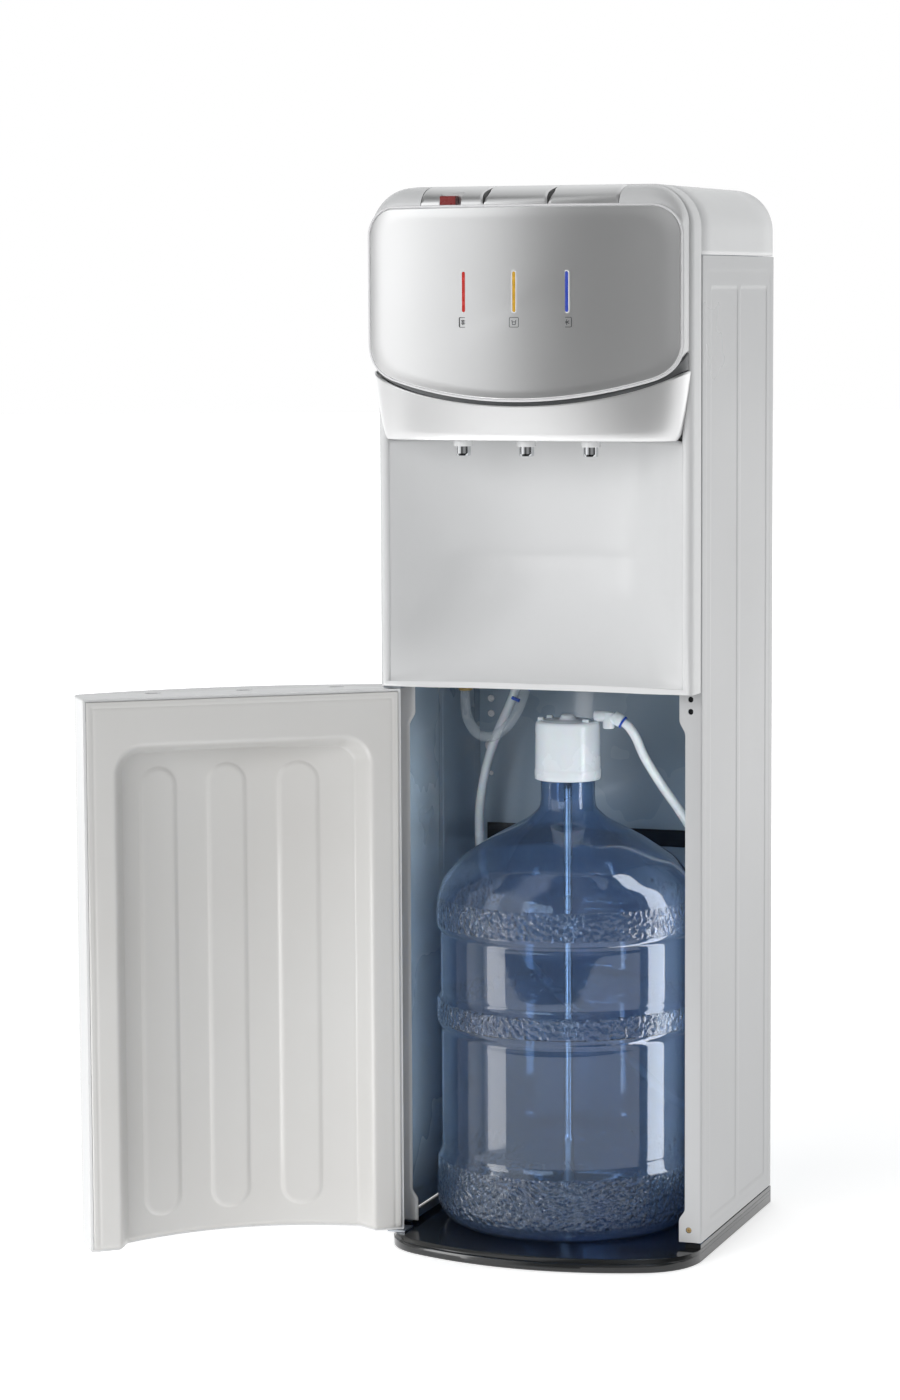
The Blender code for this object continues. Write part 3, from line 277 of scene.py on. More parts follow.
RUBBER = surface_detail(
    material("black_rubber", (0.022, 0.022, 0.023), 0.8), 260.0, 0.3, (0.7, 0.9), 30.0,
    (0.03, 0.03, 0.03),
)
CHROME = surface_detail(
    material("chrome", (0.66, 0.67, 0.68), 0.06, 1.0), 60.0, 0.004, (0.05, 0.08), 40.0,
    (0.63, 0.64, 0.66),
)
STEEL = surface_detail(
    material("stainless_steel", (0.62, 0.62, 0.61), 0.26, 1.0), 300.0, 0.05, (0.2, 0.32), 30.0,
    (0.57, 0.57, 0.57), (1.0, 1.0, 0.04),
)
BRASS = surface_detail(
    material("brass_insert", (0.50, 0.36, 0.18), 0.35, 1.0), 300.0, 0.08, (0.3, 0.42), 60.0
)
ALUMINIUM = surface_detail(
    material("extruded_aluminium", (0.62, 0.63, 0.64), 0.35, 1.0), 300.0, 0.08, (0.3, 0.40), 30.0,
    None, (1.0, 0.04, 1.0),
)
FOAM = surface_detail(
    material("foam", (0.78, 0.78, 0.75), 0.9), 200.0, 0.5, (0.85, 0.95), 20.0, (0.72, 0.72, 0.68)
)
CAP_WHITE = surface_detail(
    material(
        "cap_white", (0.72, 0.77, 0.81), 0.25, Subsurface_Weight=0.15, Subsurface_Scale=0.004,
        Coat_Weight=0.2,
    ),
    90.0, 0.02, (0.22, 0.30), 20.0, (0.69, 0.745, 0.79),
)
HOSE = surface_detail(
    material(
        "white_hose", (0.66, 0.71, 0.74), 0.25, Subsurface_Weight=0.2, Subsurface_Scale=0.003,
        Coat_Weight=0.3,
    ),
    120.0, 0.02, (0.20, 0.28), 30.0, (0.61, 0.66, 0.70),
)
SILICONE = surface_detail(
    material("clear_silicone", (0.72, 0.78, 0.82), 0.12, Alpha=0.24, Coat_Weight=0.5),
    90.0, 0.02, (0.1, 0.16), 30.0, (0.68, 0.75, 0.80),
)
BLUE_CLIP = surface_detail(
    material("blue_collet", (0.015, 0.07, 0.42), 0.3), 200.0, 0.05, (0.25, 0.35), 60.0
)
AMBER_CLIP = surface_detail(
    material("amber_washer", (0.50, 0.33, 0.10), 0.4), 200.0, 0.05, (0.35, 0.45), 60.0
)
RED = surface_detail(
    material("lock_red", (0.24, 0.012, 0.012), 0.28, Coat_Weight=0.3), 200.0, 0.03, (0.22, 0.32),
    60.0,
)
GREY_PRINT = surface_detail(
    material("grey_print", (0.09, 0.09, 0.095), 0.5), 200.0, 0.02, (0.45, 0.55), 90.0
)


def indicator_material(name, colour):
    """A glossy coloured window, a little uneven in colour."""
    made = material(name, colour, 0.25, Coat_Weight=0.3)
    return surface_detail(made, 200.0, 0.02, (0.2, 0.3), 200.0, [c * 0.85 for c in colour])


RED_WINDOW = indicator_material("red_window", (0.56, 0.010, 0.003))
AMBER_WINDOW = indicator_material("amber_window", (0.62, 0.34, 0.004))
BLUE_WINDOW = indicator_material("blue_window", (0.012, 0.050, 0.46))


def bottle_material():
    """Tinted clear polycarbonate with a slightly uneven gloss."""
    made = material(
        "blue_polycarbonate", (0.42, 0.565, 0.79), 0.04, Transmission_Weight=0.94, IOR=1.45,
        Coat_Weight=0.2, Coat_Roughness=0.03,
    )
    surface_detail(made, 120.0, 0.06, (0.02, 0.07), 25.0, (0.42, 0.58, 0.79))
    return made


BLUE_PC = bottle_material()


# Meshes


def bend(start, control, end, steps):
    """Points on a quadratic curve, both ends included."""
    start, control, end = Vector(start), Vector(control), Vector(end)
    spots = [i / steps for i in range(steps + 1)]
    return [(1 - t) ** 2 * start + 2 * t * (1 - t) * control + t * t * end for t in spots]


def arc(centre, radius, start_deg, end_deg, steps):
    """Points on a circular arc, both ends included."""
    turns = [math.radians(start_deg + (end_deg - start_deg) * i / steps) for i in range(steps + 1)]
    return [(centre[0] + radius * math.cos(a), centre[1] + radius * math.sin(a)) for a in turns]


def spread(low, high, count):
    """Evenly spaced values, both ends included."""
    return [low + (high - low) * i / (count - 1) for i in range(count)]


def lines(*spans):
    """Grid lines from (low, high, spacing) spans, each value once."""
    values = set()
    for low, high, spacing in spans:
        count = max(2, round((high - low) / spacing) + 1)
        values.update(round(v, 6) for v in spread(low, high, count))
    return sorted(values)


def smooth_step(value):
    value = max(0.0, min(1.0, value))
    return value * value * (3 - 2 * value)


def filleted(points, radius, steps=5, closed=False):
    """The polyline with its corners rounded over a radius."""
    points = [Vector(point) for point in points]
    count = len(points)
    made = []
    for i, point in enumerate(points):
        if not closed and i in (0, count - 1):
            made.append(point)
            continue
        before, after = points[i - 1], points[(i + 1) % count]
        reach = min(radius, (before - point).length * 0.49, (after - point).length * 0.49)
        start = point + (before - point).normalized() * reach
        end = point + (after - point).normalized() * reach
        made += bend(start, point, end, steps)
    return made


def piece(name, points, faces, finish, sharp=38.0):
    """A mesh object from points and faces, welded, facing out and shaded smooth."""
    mesh = bpy.data.meshes.new(name)
    mesh.from_pydata([tuple(point) for point in points], [], faces)
    bm = bmesh.new()
    bm.from_mesh(mesh)
    bmesh.ops.remove_doubles(bm, verts=bm.verts, dist=2e-6)
    bmesh.ops.recalc_face_normals(bm, faces=bm.faces)
    bm.to_mesh(mesh)
    bm.free()
    mesh.materials.append(finish)
    mesh.shade_smooth()
    mesh.set_sharp_from_angle(angle=math.radians(sharp))
    obj = bpy.data.objects.new(name, mesh)
    SCENE.collection.objects.link(obj)
    return obj


def skin(name, rows, finish, closed=False, caps=(), sharp=38.0):
    """A piece through rows of points; closed joins each row's ends, and caps fills end rows."""
    across = len(rows[0])
    spans = across if closed else across - 1
    faces = []
    for low in range(0, (len(rows) - 1) * across, across):
        for i in range(spans):
            j = (i + 1) % across
            faces.append((low + i, low + j, low + across + j, low + across + i))
    if "first" in caps:
        faces.append(tuple(range(across)))
    if "last" in caps:
        faces.append(tuple(range((len(rows) - 1) * across, len(rows) * across)))
    return piece(name, [point for row in rows for point in row], faces, finish, sharp)


def join(name, objects):
    """One piece from several, keeping their materials."""
    main = objects[0]
    for other in objects[1:]:
        for finish in other.data.materials:
            if finish.name not in main.data.materials:
                main.data.materials.append(finish)
    order = {finish.name: i for i, finish in enumerate(main.data.materials)}
    bm = bmesh.new()
    bm.from_mesh(main.data)
    for other in objects[1:]:
        turn = [order[finish.name] for finish in other.data.materials]
        first = len(bm.faces)
        bm.from_mesh(other.data)
        bm.faces.ensure_lookup_table()
        for face in bm.faces[first:]:
            face.material_index = turn[face.material_index]
        bpy.data.objects.remove(other)
    bm.to_mesh(main.data)
    bm.free()
    main.name = name
    main.data.name = name
    return main


def wall(obj, thickness, offset=-1.0, inner=None):
    """Gives an open surface its wall; inner is the finish of its other side."""
    modifier = obj.modifiers.new("wall", "SOLIDIFY")
    modifier.thickness = thickness
    modifier.offset = offset
    modifier.use_even_offset = True
    if inner:
        obj.data.materials.append(inner)
        modifier.material_offset = 1
    return obj


def soften(obj, width, segments=3, angle=40.0):
    """Rounds the sharp edges of an object."""
    modifier = obj.modifiers.new("rounded_edges", "BEVEL")
    modifier.width = width
    modifier.segments = segments
    modifier.limit_method = "ANGLE"
    modifier.angle_limit = math.radians(angle)
    modifier.harden_normals = True
    return obj


def cut(obj, *cutters):
    """Takes cutters away from obj, and applies what obj holds."""
    for cutter in cutters:
        modifier = obj.modifiers.new("cut", "BOOLEAN")
        modifier.operation = "DIFFERENCE"
        modifier.solver = "EXACT"
        modifier.object = cutter
    graph = bpy.context.evaluated_depsgraph_get()
    made = bpy.data.meshes.new_from_object(obj.evaluated_get(graph))
    obj.modifiers.clear()
    obj.data = made
    made.set_sharp_from_angle(angle=math.radians(38.0))
    for cutter in cutters:
        bpy.data.objects.remove(cutter)
    return obj


def prism(name, outline, low, high, finish, axis="Z", rounding=0.0):
    """A flat outline extruded along an axis, read as (y, z), (x, z) or (x, y)."""
    place = {
        "X": lambda a, b, c: (c, a, b),
        "Y": lambda a, b, c: (a, c, b),
        "Z": lambda a, b, c: (a, b, c),
    }[axis]
    rows = [[place(a, b, level) for a, b in outline] for level in (low, high)]
    made = skin(name, rows, finish, closed=True, caps=("first", "last"))
    return soften(made, rounding) if rounding else made


def box_piece(name, low, high, finish, rounding=0.0008):
    outline = [(low[0], low[1]), (high[0], low[1]), (high[0], high[1]), (low[0], high[1])]
    return prism(name, outline, low[2], high[2], finish, rounding=rounding)


def turned(name, profile, centre, finish, steps=72, along=(0.0, 0.0, 1.0), relief=None, sharp=38.0):
    """A (radius, height) profile turned about an axis through centre.

    relief takes a place on the circle and a height, and says what is added to the radius there.
    """
    turn = Vector(along).to_track_quat("Z", "Y").to_matrix()
    rows = []
    for radius, height in profile:
        row = []
        for i in range(steps):
            a = 2 * math.pi * i / steps
            out = Vector((math.cos(a), math.sin(a), 0.0))
            extra = relief(out * radius, height) if relief and radius > 0.01 else 0.0
            row.append(Vector(centre) + turn @ (out * (radius + extra) + Vector((0, 0, height))))
        rows.append(row)
    return skin(name, rows, finish, closed=True, sharp=sharp)


def smooth_route(points, spacing):
    """Points about spacing apart on a Catmull-Rom curve through the route's own points."""
    points = [Vector(point) for point in points]
    ends = [2 * points[0] - points[1], *points, 2 * points[-1] - points[-2]]
    route = []
    for before, start, end, after in zip(ends, ends[1:], ends[2:], ends[3:]):
        parts = max(1, round((end - start).length / spacing))
        for i in range(parts):
            t = i / parts
            once = (end - before) * t
            twice = (2 * before - 5 * start + 4 * end - after) * t**2
            thrice = (3 * start - before - 3 * end + after) * t**3
            route.append(0.5 * (2 * start + once + twice + thrice))
    route.append(points[-1])
    return route


def swept(name, route, radius, finish, sides=20):
    """A round tube along a route, its two ends closed and slightly narrower."""
    rows = []
    steep = abs((route[1] - route[0]).normalized().z) >= 0.9
    side = Vector((1.0, 0.0, 0.0)) if steep else Vector((0.0, 0.0, 1.0))
    for i, point in enumerate(route):
        ahead = (route[min(i + 1, len(route) - 1)] - route[max(i - 1, 0)]).normalized()
        side = (side - ahead * side.dot(ahead)).normalized()
        other = ahead.cross(side)
        angles = [2 * math.pi * k / sides for k in range(sides)]
        size = radius if 0 < i < len(route) - 1 else radius * 0.97
        rows.append([point + (side * math.cos(a) + other * math.sin(a)) * size for a in angles])
    return skin(name, rows, finish, closed=True, caps=("first", "last"), sharp=60.0)


def finish_piece(obj, body, slot, *nodes):
    """obj rides on a body and stands for nodes; slot is not used."""
    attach(obj, body)
    if nodes:
        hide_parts(*nodes)
    return obj


# Hoses, each a free hose between two fittings

SUCTION_ROUTE = (
    (0.0512, 0.0905, 0.5240), (0.0571, 0.0907, 0.5203), (0.0640, 0.0955, 0.5080),
    (0.0705, 0.1045, 0.4870), (0.0850, 0.1160, 0.4580), (0.1000, 0.1270, 0.4320),
    (0.1130, 0.1410, 0.4040), (0.1270, 0.1630, 0.3680), (0.1380, 0.1880, 0.3200),
    (0.1425, 0.2060, 0.2600), (0.1415, 0.2150, 0.2000), (0.1400, 0.2165, 0.1600),
    (0.1400, 0.2165, 0.1283),
)
DELIVERY_ROUTE = (
    (0.0985, 0.2370, 0.1030), (0.0880, 0.2372, 0.1030), (0.0700, 0.2390, 0.1055),
    (0.0530, 0.2400, 0.1150), (0.0260, 0.2410, 0.1380), (-0.0070, 0.2410, 0.1630),
    (-0.0500, 0.2400, 0.1980), (-0.0950, 0.2340, 0.2460), (-0.1270, 0.2150, 0.3050),
    (-0.1355, 0.1960, 0.3550), (-0.1360, 0.1880, 0.3940), (-0.1335, 0.1850, 0.4260),
    (-0.1260, 0.1840, 0.4630), (-0.1150, 0.1840, 0.4950), (-0.0985, 0.1830, 0.5310),
    (-0.0915, 0.1820, 0.5520), (-0.0900, 0.1820, 0.5732),
)
LOOP_ROUTE = (
    (-0.0770, 0.1680, 0.5732), (-0.0775, 0.1680, 0.5480), (-0.0850, 0.1680, 0.5260),
    (-0.0980, 0.1680, 0.5060), (-0.1160, 0.1680, 0.4945), (-0.1320, 0.1680, 0.4990),
    (-0.1420, 0.1680, 0.5160), (-0.1440, 0.1680, 0.5370), (-0.1440, 0.1680, 0.5732),
)
HOSE_RADIUS = 0.00475
LOOP_RADIUS = 0.0055


def make_hoses():
    for name, points, radius, length, finish, slot in (
        ("suction_tube", SUCTION_ROUTE[::-1], HOSE_RADIUS, 0.441, HOSE, "white_hose"),
        ("delivery_tube", DELIVERY_ROUTE, HOSE_RADIUS, 0.598, HOSE, "white_hose"),
        ("drain_loop_tube", LOOP_ROUTE, LOOP_RADIUS, 0.189, SILICONE, "clear_silicone"),
    ):
        route = smooth_route(points, 0.003)
        tube = swept(name, route, radius, finish)
        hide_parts(name.replace("tube", "hose"))
        if name == "suction_tube":
            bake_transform(tube)
        else:
            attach(tube, "cabinet")


# Cabinet


def rectangle_inside(y, z, low_y, high_y, low_z, high_z, radius):
    """How far a place is inside a rectangle with rounded corners; negative outside."""
    across = abs(y - (low_y + high_y) / 2) - (high_y - low_y) / 2 + radius
    upward = abs(z - (low_z + high_z) / 2) - (high_z - low_z) / 2 + radius
    outside = math.hypot(max(across, 0.0), max(upward, 0.0))
    return radius - outside - min(max(across, upward), 0.0)


def side_x(y, z):
    """The right side panel's outer face, with its stamped rectangles."""
    x = SIDE_HIGH_CORNER.x
    for low, high in STAMPS_Y:
        inside = rectangle_inside(y, z, low, high, *STAMPS_Z, 0.006)
        x -= STAMP_DEPTH * 0.8 * smooth_step(inside / STAMP_RAMP)
    border = rectangle_inside(y, z, 0.014, DEPTH - 0.012, 0.027, 0.976, 0.008)
    return x - STAMP_DEPTH * 0.25 * smooth_step(border / 0.003)


def jamb_x(z):
    """How far in the door frame's flange reaches."""
    if z > BAY_TOP:
        return JAMB_HEAD_X
    tab = max(smooth_step((0.052 - z) / 0.012), smooth_step((z - 0.524) / 0.014))
    return JAMB_MID_X + (JAMB_TAB_X - JAMB_MID_X) * tab


def make_side_panels():
    corner = 0.0018
    high_z = SIDE_HIGH_CORNER.z
    levels = lines(
        (SIDE_LOW_CORNER.z, 0.026, 0.002), (0.026, 0.056, 0.0015), (0.056, 0.520, 0.035),
        (0.520, 0.5655, 0.0025), (0.5655, 0.5665, 0.001), (0.5665, 0.940, 0.040),
        (0.940, 0.980, 0.0015), (0.980, high_z, 0.004),
    )
    spots = lines(
        (corner, 0.012, 0.003), (0.012, 0.018, 0.001), (0.018, 0.029, 0.004), (0.029, 0.038, 0.001),
        (0.038, 0.124, 0.012), (0.124, 0.145, 0.001), (0.145, 0.232, 0.012), (0.232, 0.256, 0.001),
        (0.256, DEPTH - corner, 0.004),
    )
    rows = []
    for z in levels:
        x = SIDE_HIGH_CORNER.x
        row = [(jamb_x(z), 0.0, z), (jamb_x(z) + 0.004, 0.0, z)]
        row += [(a, b, z) for a, b in arc((x - corner, corner), corner, -90, 0, 4)]
        row += [(side_x(y, z), y, z) for y in spots[1:-1]]
        row += [(a, b, z) for a, b in arc((x - corner, DEPTH - corner), corner, 0, 90, 4)]
        row += [(x - 0.014, DEPTH, z)]
        rows.append(row)
    mirrored = [[(-x, y, z) for x, y, z in row] for row in rows]
    right = wall(skin("right_side_sheet", rows, ENAMEL), SHEET, inner=SLATE)
    left = wall(skin("left_side_sheet", mirrored, ENAMEL), SHEET, inner=SLATE)
    holes = []
    for z in (0.547, 0.559):
        upper = arc((0.1490, z + 0.0003), 0.0026, 0, 180, 10)
        lower = arc((0.1490, z - 0.0003), 0.0026, 180, 360, 10)
        holes.append(prism("oval", upper + lower, -0.004, 0.004, SLATE, axis="Y"))
    circle = arc((INSERT_X, INSERT_Z), 0.003, 0, 345, 23)
    holes.append(prism("screw_hole", circle, -0.004, 0.004, SLATE, axis="Y"))
    cut(right, *holes)
    finish_piece(right, "cabinet", "white_enamelled_steel", "right_side_panel")
    finish_piece(left, "cabinet", "white_enamelled_steel", "left_side_panel")


def make_screw_insert():
    """The threaded insert near the foot of the right jamb."""
    profile = [
        (0.0, 0.0006), (0.0012, 0.0004), (0.0013, 0.0018), (0.0026, 0.0018), (0.0027, -0.002),
        (0.0, -0.002),
    ]
    place = (INSERT_X, 0.0025, INSERT_Z)
    insert = turned("door_screw_insert", profile, place, BRASS, 24, along=(0, -1, 0))
    finish_piece(insert, "cabinet", "zinc_plated_steel")


def hood_outline(half, low, top, radius, steps=20, feet=6):
    """An upright rectangle with rounded top corners, as (x, z), from its lower right to the left."""
    right = arc((half - radius, top - radius), radius, 0, 90, steps)
    left = arc((radius - half, top - radius), radius, 90, 180, steps)
    up = [(half, low + (top - radius - low) * i / feet) for i in range(feet)]
    down = [(-x, z) for x, z in reversed(up)]
    return [*up, *right, *left, *down]


def make_top_cover():
    low = COVER_LOW.z
    radius = COVER_RADIUS
    levels = [(COVER_LOW.y, 0.0012), (COVER_LOW.y + 0.0004, 0.0004), (COVER_LOW.y + 0.0012, 0.0)]
    levels += [(y, 0.0) for y in spread(0.03, DEPTH - 0.006, 6)]
    levels += [(DEPTH - 0.003, 0.0006), (DEPTH - 0.001, 0.0020), (DEPTH, 0.0045)]
    rows = []
    for y, inset in levels:
        outline = hood_outline(HALF_WIDTH - inset, low, HEIGHT - inset, radius - inset)
        rows.append([(x, y, z) for x, z in outline])
    cover = wall(skin("rear_cover", rows, WHITE, caps=("last",)), WALL)
    finish_piece(cover, "cabinet", "gloss_white_plastic", "top_cover")


def frame_lip_y(x):
    """Where the frame's lower edge starts: let in, so that the niche runs out over it."""
    return FRAME_LOW_CORNER.y + 0.0135 * max(0.0, 1 - abs(x / 0.140) ** 3) ** 1.5


def bezel_ring(outline, y, lip_top):
    """A ring of the frame at y; what lies below lip_top stays behind the let-in lower edge."""
    return [(x, max(y, frame_lip_y(x)) if z < lip_top else y, z) for x, z in outline]


def make_front_frame():
    half, top, low = FRAME_HIGH_CORNER.x, FRAME_HIGH_CORNER.z, FRAME_LOW_CORNER.z
    front, back = FRAME_LOW_CORNER.y, FRAME_HIGH_CORNER.y
    radius = COVER_RADIUS
    outside = (
        (back, 0.0004), (back - 0.0004, 0.0), (-0.028, 0.0), (-0.0340, 0.0005), (-0.0370, 0.0018),
        (front + 0.0003, 0.0040), (front, 0.0058),
    )
    inside = (
        (front, 0.0044, 0.0), (front + 0.0004, 0.0026, 0.0), (front + 0.0014, 0.0010, 0.0002),
        (front + 0.0034, 0.0, 0.0008), (-0.022, 0.0, 0.0012), (back, 0.0, 0.0012),
    )
    bottom = spread(-1.0, 1.0, 41)[1:-1]
    rows = []
    for y, inset in outside:
        outline = hood_outline(half - inset, low + inset * 0.3, top - inset, radius - inset)
        outline += [(share * (half - inset), low + inset * 0.3) for share in bottom]
        rows.append(bezel_ring(outline, y, NICHE_LOW))
    for y, inset, drop in inside:
        edge = NICHE_HALF + inset
        outline = hood_outline(edge, NICHE_LOW - drop, top - 0.006, radius - 0.010)
        outline += [(share * edge, NICHE_LOW + 0.0004 - drop) for share in bottom]
        rows.append(bezel_ring(outline, y, NICHE_LOW + 0.001))
    rows.append(rows[0])
    bezel = skin("front_bezel", rows, WHITE, closed=True)
    finish_piece(bezel, "cabinet", "gloss_white_plastic", "front_frame")


def niche_depth_y(z):
    """How far back the middle of the niche is at a height."""
    share = max(0.0, (z - NICHE_LOW) / (NICHE_HIGH - NICHE_LOW))
    scoop = 0.088 * math.sin(math.pi / 2 * min(1.0, share / 0.55)) ** 0.8
    return -0.025 + scoop - 0.05 * max(0.0, share - 0.5)


def make_niche():
    """The niche's scoop: back from the frame's lower edge, then slowly forward again."""
    half = NICHE_HALF + 0.0014
    low = NICHE_LOW - 0.0004
    shares = [0.0, 0.004, 0.01, 0.02, 0.035, 0.05, 0.07, *spread(0.09, 1.0, 40)]
    rows = []
    for share in shares:
        z = low + (NICHE_HIGH - low) * share
        row = []
        for turn in spread(-90.0, 90.0, 97):
            across = math.sin(math.radians(turn))
            bowl = max(0.0, 1 - abs(across) ** 3.4) ** 1.25
            front_y = -0.0352 + 0.0040 * (1 - abs(across) ** 6)
            y = front_y + (niche_depth_y(z) - front_y) * bowl
            row.append((half * across, y, z))
        rows.append(row)
    liner = wall(skin("niche_scoop", rows, WHITE, sharp=70.0), 0.0016, offset=1.0)
    finish_piece(liner, "cabinet", "gloss_white_plastic", "niche_liner")


def base_outline(inset=0.0):
    """The base from above: a rectangle with a bowed tongue in front."""
    edge = BASE_LOW_CORNER.y + inset
    bow = [(x, edge + 0.040 * (x / 0.153) ** 2) for x in spread(0.120, -0.120, 49)]
    right = [tuple(p) for p in bend((HALF_WIDTH, 0.0), (0.156, bow[0][1] + 0.016), bow[0], 16)][:-1]
    left = [(-x, y) for x, y in reversed(right)]
    return [(-HALF_WIDTH, DEPTH), (HALF_WIDTH, DEPTH), *right, *bow, *left]


def make_base():
    top = BASE_HIGH_CORNER.z
    levels = (
        (0.0, 0.0024), (0.0006, 0.0008), (0.0016, 0.0), (0.0072, 0.0), (0.0084, 0.0006),
        (0.0088, 0.0020), (0.0086, 0.0036), (0.0090, 0.0048), (0.0118, 0.0066), (top - 0.0001, 0.0078),
        (top, 0.0094),
    )
    rings = [[(x, y, z) for x, y in base_outline(inset)] for z, inset in levels]
    base = skin("moulded_base", rings, BLACK, closed=True, caps=("first", "last"), sharp=50.0)
    pockets = []
    for number in range(1, 5):
        low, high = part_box(f"foot_{number}")
        middle = ((low.x + high.x) / 2, (low.y + high.y) / 2)
        circle = arc(middle, (high.x - low.x) / 2 + GAP, 0, 350, 35)
        pockets.append(prism("pocket", circle, -0.001, high.z + GAP, BLACK))
    cut(base, *pockets)
    finish_piece(base, "cabinet", "gloss_black_plastic", "base")


# Dispensing head


def panel_y(x):
    """The silver panel's bowed front."""
    return PANEL_MID_Y + (PANEL_EDGE_Y - PANEL_MID_Y) * (x / PANEL_HALF) ** 2


def panel_low_curve(x):
    return PANEL_LOW + PANEL_LOW_RISE * (x / 0.156) ** 2


def panel_low(x):
    """The silver panel's lower edge at any x, its rounded corners included."""
    x = min(abs(x), PANEL_HALF)
    if x <= PANEL_CORNER_X:
        return panel_low_curve(x)
    along = math.sqrt((PANEL_HALF - x) / (PANEL_HALF - PANEL_CORNER_X))
    corner = panel_low_curve(PANEL_CORNER_X)
    return (1 - along) ** 2 * PANEL_CORNER_Z + 2 * along * (1 - along) * 0.877 + along**2 * corner


def rounded_top(x, half, top, radius):
    """Height of a round-shouldered outline at x."""
    over = max(0.0, abs(x) - (half - radius))
    return top - radius + math.sqrt(max(0.0, radius**2 - over**2))


def head_front_y(x):
    return panel_y(x) + PANEL_THICK + 0.0012


def head_rise(share):
    """How far up the head's top has risen at a share of its depth: steep at the front, level behind."""
    return (1 - (1 - share) ** 2.4) ** 0.6


def head_top_z(x, y):
    """The head's sloping top at a place."""
    top = rounded_top(x, HEAD_HALF, HEAD_TOP, HEAD_RADIUS)
    lip = min(rounded_top(x, PANEL_HALF, PANEL_TOP, PANEL_RADIUS) - 0.0005, top - 0.001)
    front = head_front_y(x)
    share = max(0.0, min(1.0, (y - front) / (HEAD_BACK_Y - front)))
    return lip + (top - lip) * head_rise(share)


def head_stations(half, count=72):
    """Places across the head, closer together towards its round ends."""
    return [half * math.sin(math.radians(a)) for a in spread(-90.0, 90.0, count)]


def make_head_shell():
    rows = []
    for x in head_stations(HEAD_HALF):
        front = head_front_y(x)
        low = panel_low(x) + 0.006
        path = [(x, HEAD_BACK_Y, low), (x, front + 0.0015, low), (x, front, low + 0.0015)]
        shares = (0.0, 0.01, 0.025, 0.05, 0.08, 0.12, 0.18, 0.26, 0.36, 0.48, 0.62, 0.80, 1.0)
        for share in shares:
            y = front + (HEAD_BACK_Y - front) * share
            path.append((x, y, head_top_z(x, y)))
        rows.append(path)
    shell = skin("head_cover", rows, WHITE, closed=True, caps=("first", "last"))
    finish_piece(shell, "cabinet", "gloss_white_plastic", "head_shell")


def panel_outline():
    """The silver panel's outline as (x, z), anticlockwise from its lower left."""
    corner = panel_low_curve(PANEL_CORNER_X)
    low = [(x, panel_low_curve(x)) for x in spread(-PANEL_CORNER_X, PANEL_CORNER_X, 49)][1:-1]
    right = [
        tuple(p)
        for p in bend((PANEL_CORNER_X, corner), (PANEL_HALF, 0.877), (PANEL_HALF, PANEL_CORNER_Z), 14)
    ]
    up = [(PANEL_HALF, z) for z in spread(PANEL_CORNER_Z, PANEL_TOP - PANEL_RADIUS, 7)][1:-1]
    turn = arc((PANEL_HALF - PANEL_RADIUS, PANEL_TOP - PANEL_RADIUS), PANEL_RADIUS, 0, 90, 16)
    top = [(x, PANEL_TOP) for x in spread(PANEL_HALF - PANEL_RADIUS, PANEL_RADIUS - PANEL_HALF, 25)]
    half = [*right, *up, *turn]
    return [*low, *half, *top[1:-1], *[(-x, z) for x, z in reversed(half)]]


def shrunk(outline, inset):
    """The outline moved inwards by inset, square to itself."""
    count = len(outline)
    made = []
    for i in range(count):
        before, after = Vector(outline[i - 1]), Vector(outline[(i + 1) % count])
        along = (after - before).normalized()
        made.append((outline[i][0] - along.y * inset, outline[i][1] + along.x * inset))
    return made


def bowed_plate(name, outline, levels, finish):
    """A plate that follows the panel's bow: levels are (inset, depth behind its front), front last."""
    shares = (0.9, 0.75, 0.6, 0.45, 0.3, 0.15, 0.01)
    rings = []
    for (inset, depth), scales in ((levels[0], shares[::-1]), (levels[-1], shares)):
        edge = shrunk(outline, inset)
        centre_z = sum(z for _, z in edge) / len(edge)
        flat = []
        for share in scales:
            ring = [(x * share, centre_z + (z - centre_z) * share) for x, z in edge]
            flat.append([(x, panel_y(x) + depth, z) for x, z in ring])
        rings.append(flat)
    back, front = rings
    edges = []
    for inset, depth in levels:
        edges.append([(x, panel_y(x) + depth, z) for x, z in shrunk(outline, inset)])
    return skin(name, [*back, *edges, *front], finish, closed=True, caps=("first", "last"), sharp=50.0)


def make_head_panel():
    outline = panel_outline()
    rim_levels = (
        (0.0, PANEL_THICK), (0.0, 0.0008), (0.0003, 0.0002), (0.0010, 0.0), (0.0019, 0.0002),
        (0.0023, 0.0010),
    )
    rim = bowed_plate("panel_rim", outline, rim_levels, RIM_WHITE)
    finish_piece(rim, "cabinet", "gloss_white_plastic")
    face_levels = ((0.0026, 0.0020), (0.0026, 0.0006), (0.0030, 0.0002), (0.0036, 0.0))
    face = bowed_plate("panel_face", outline, face_levels, SILVER)
    finish_piece(face, "cabinet", "satin_silver", "head_panel")


def capsule(x, z, wide, tall, steps=10):
    """An upright outline with round ends, as (x, z)."""
    high = arc((x, z + tall - wide), wide, 0, 180, steps)
    low = arc((x, z - tall + wide), wide, 180, 360, steps)
    return [*high, *low]


def stroke(points, width, x, z):
    """A printed line round x, z on the panel, as flat boxes end to end."""
    made = []
    for start, end in zip(points, points[1:]):
        start, end = Vector(start), Vector(end)
        along = (end - start).normalized()
        out = Vector((-along.y, along.x)) * width / 2
        start, end = start - along * width * 0.3, end + along * width * 0.3
        corners = [start + out, start - out, end - out, end + out]
        outline = [(x + c.x, z + c.y) for c in corners]
        front = panel_y(x) - 0.00008
        made.append(prism("stroke", outline, front, front + 0.0012, GREY_PRINT, axis="Y"))
    return made


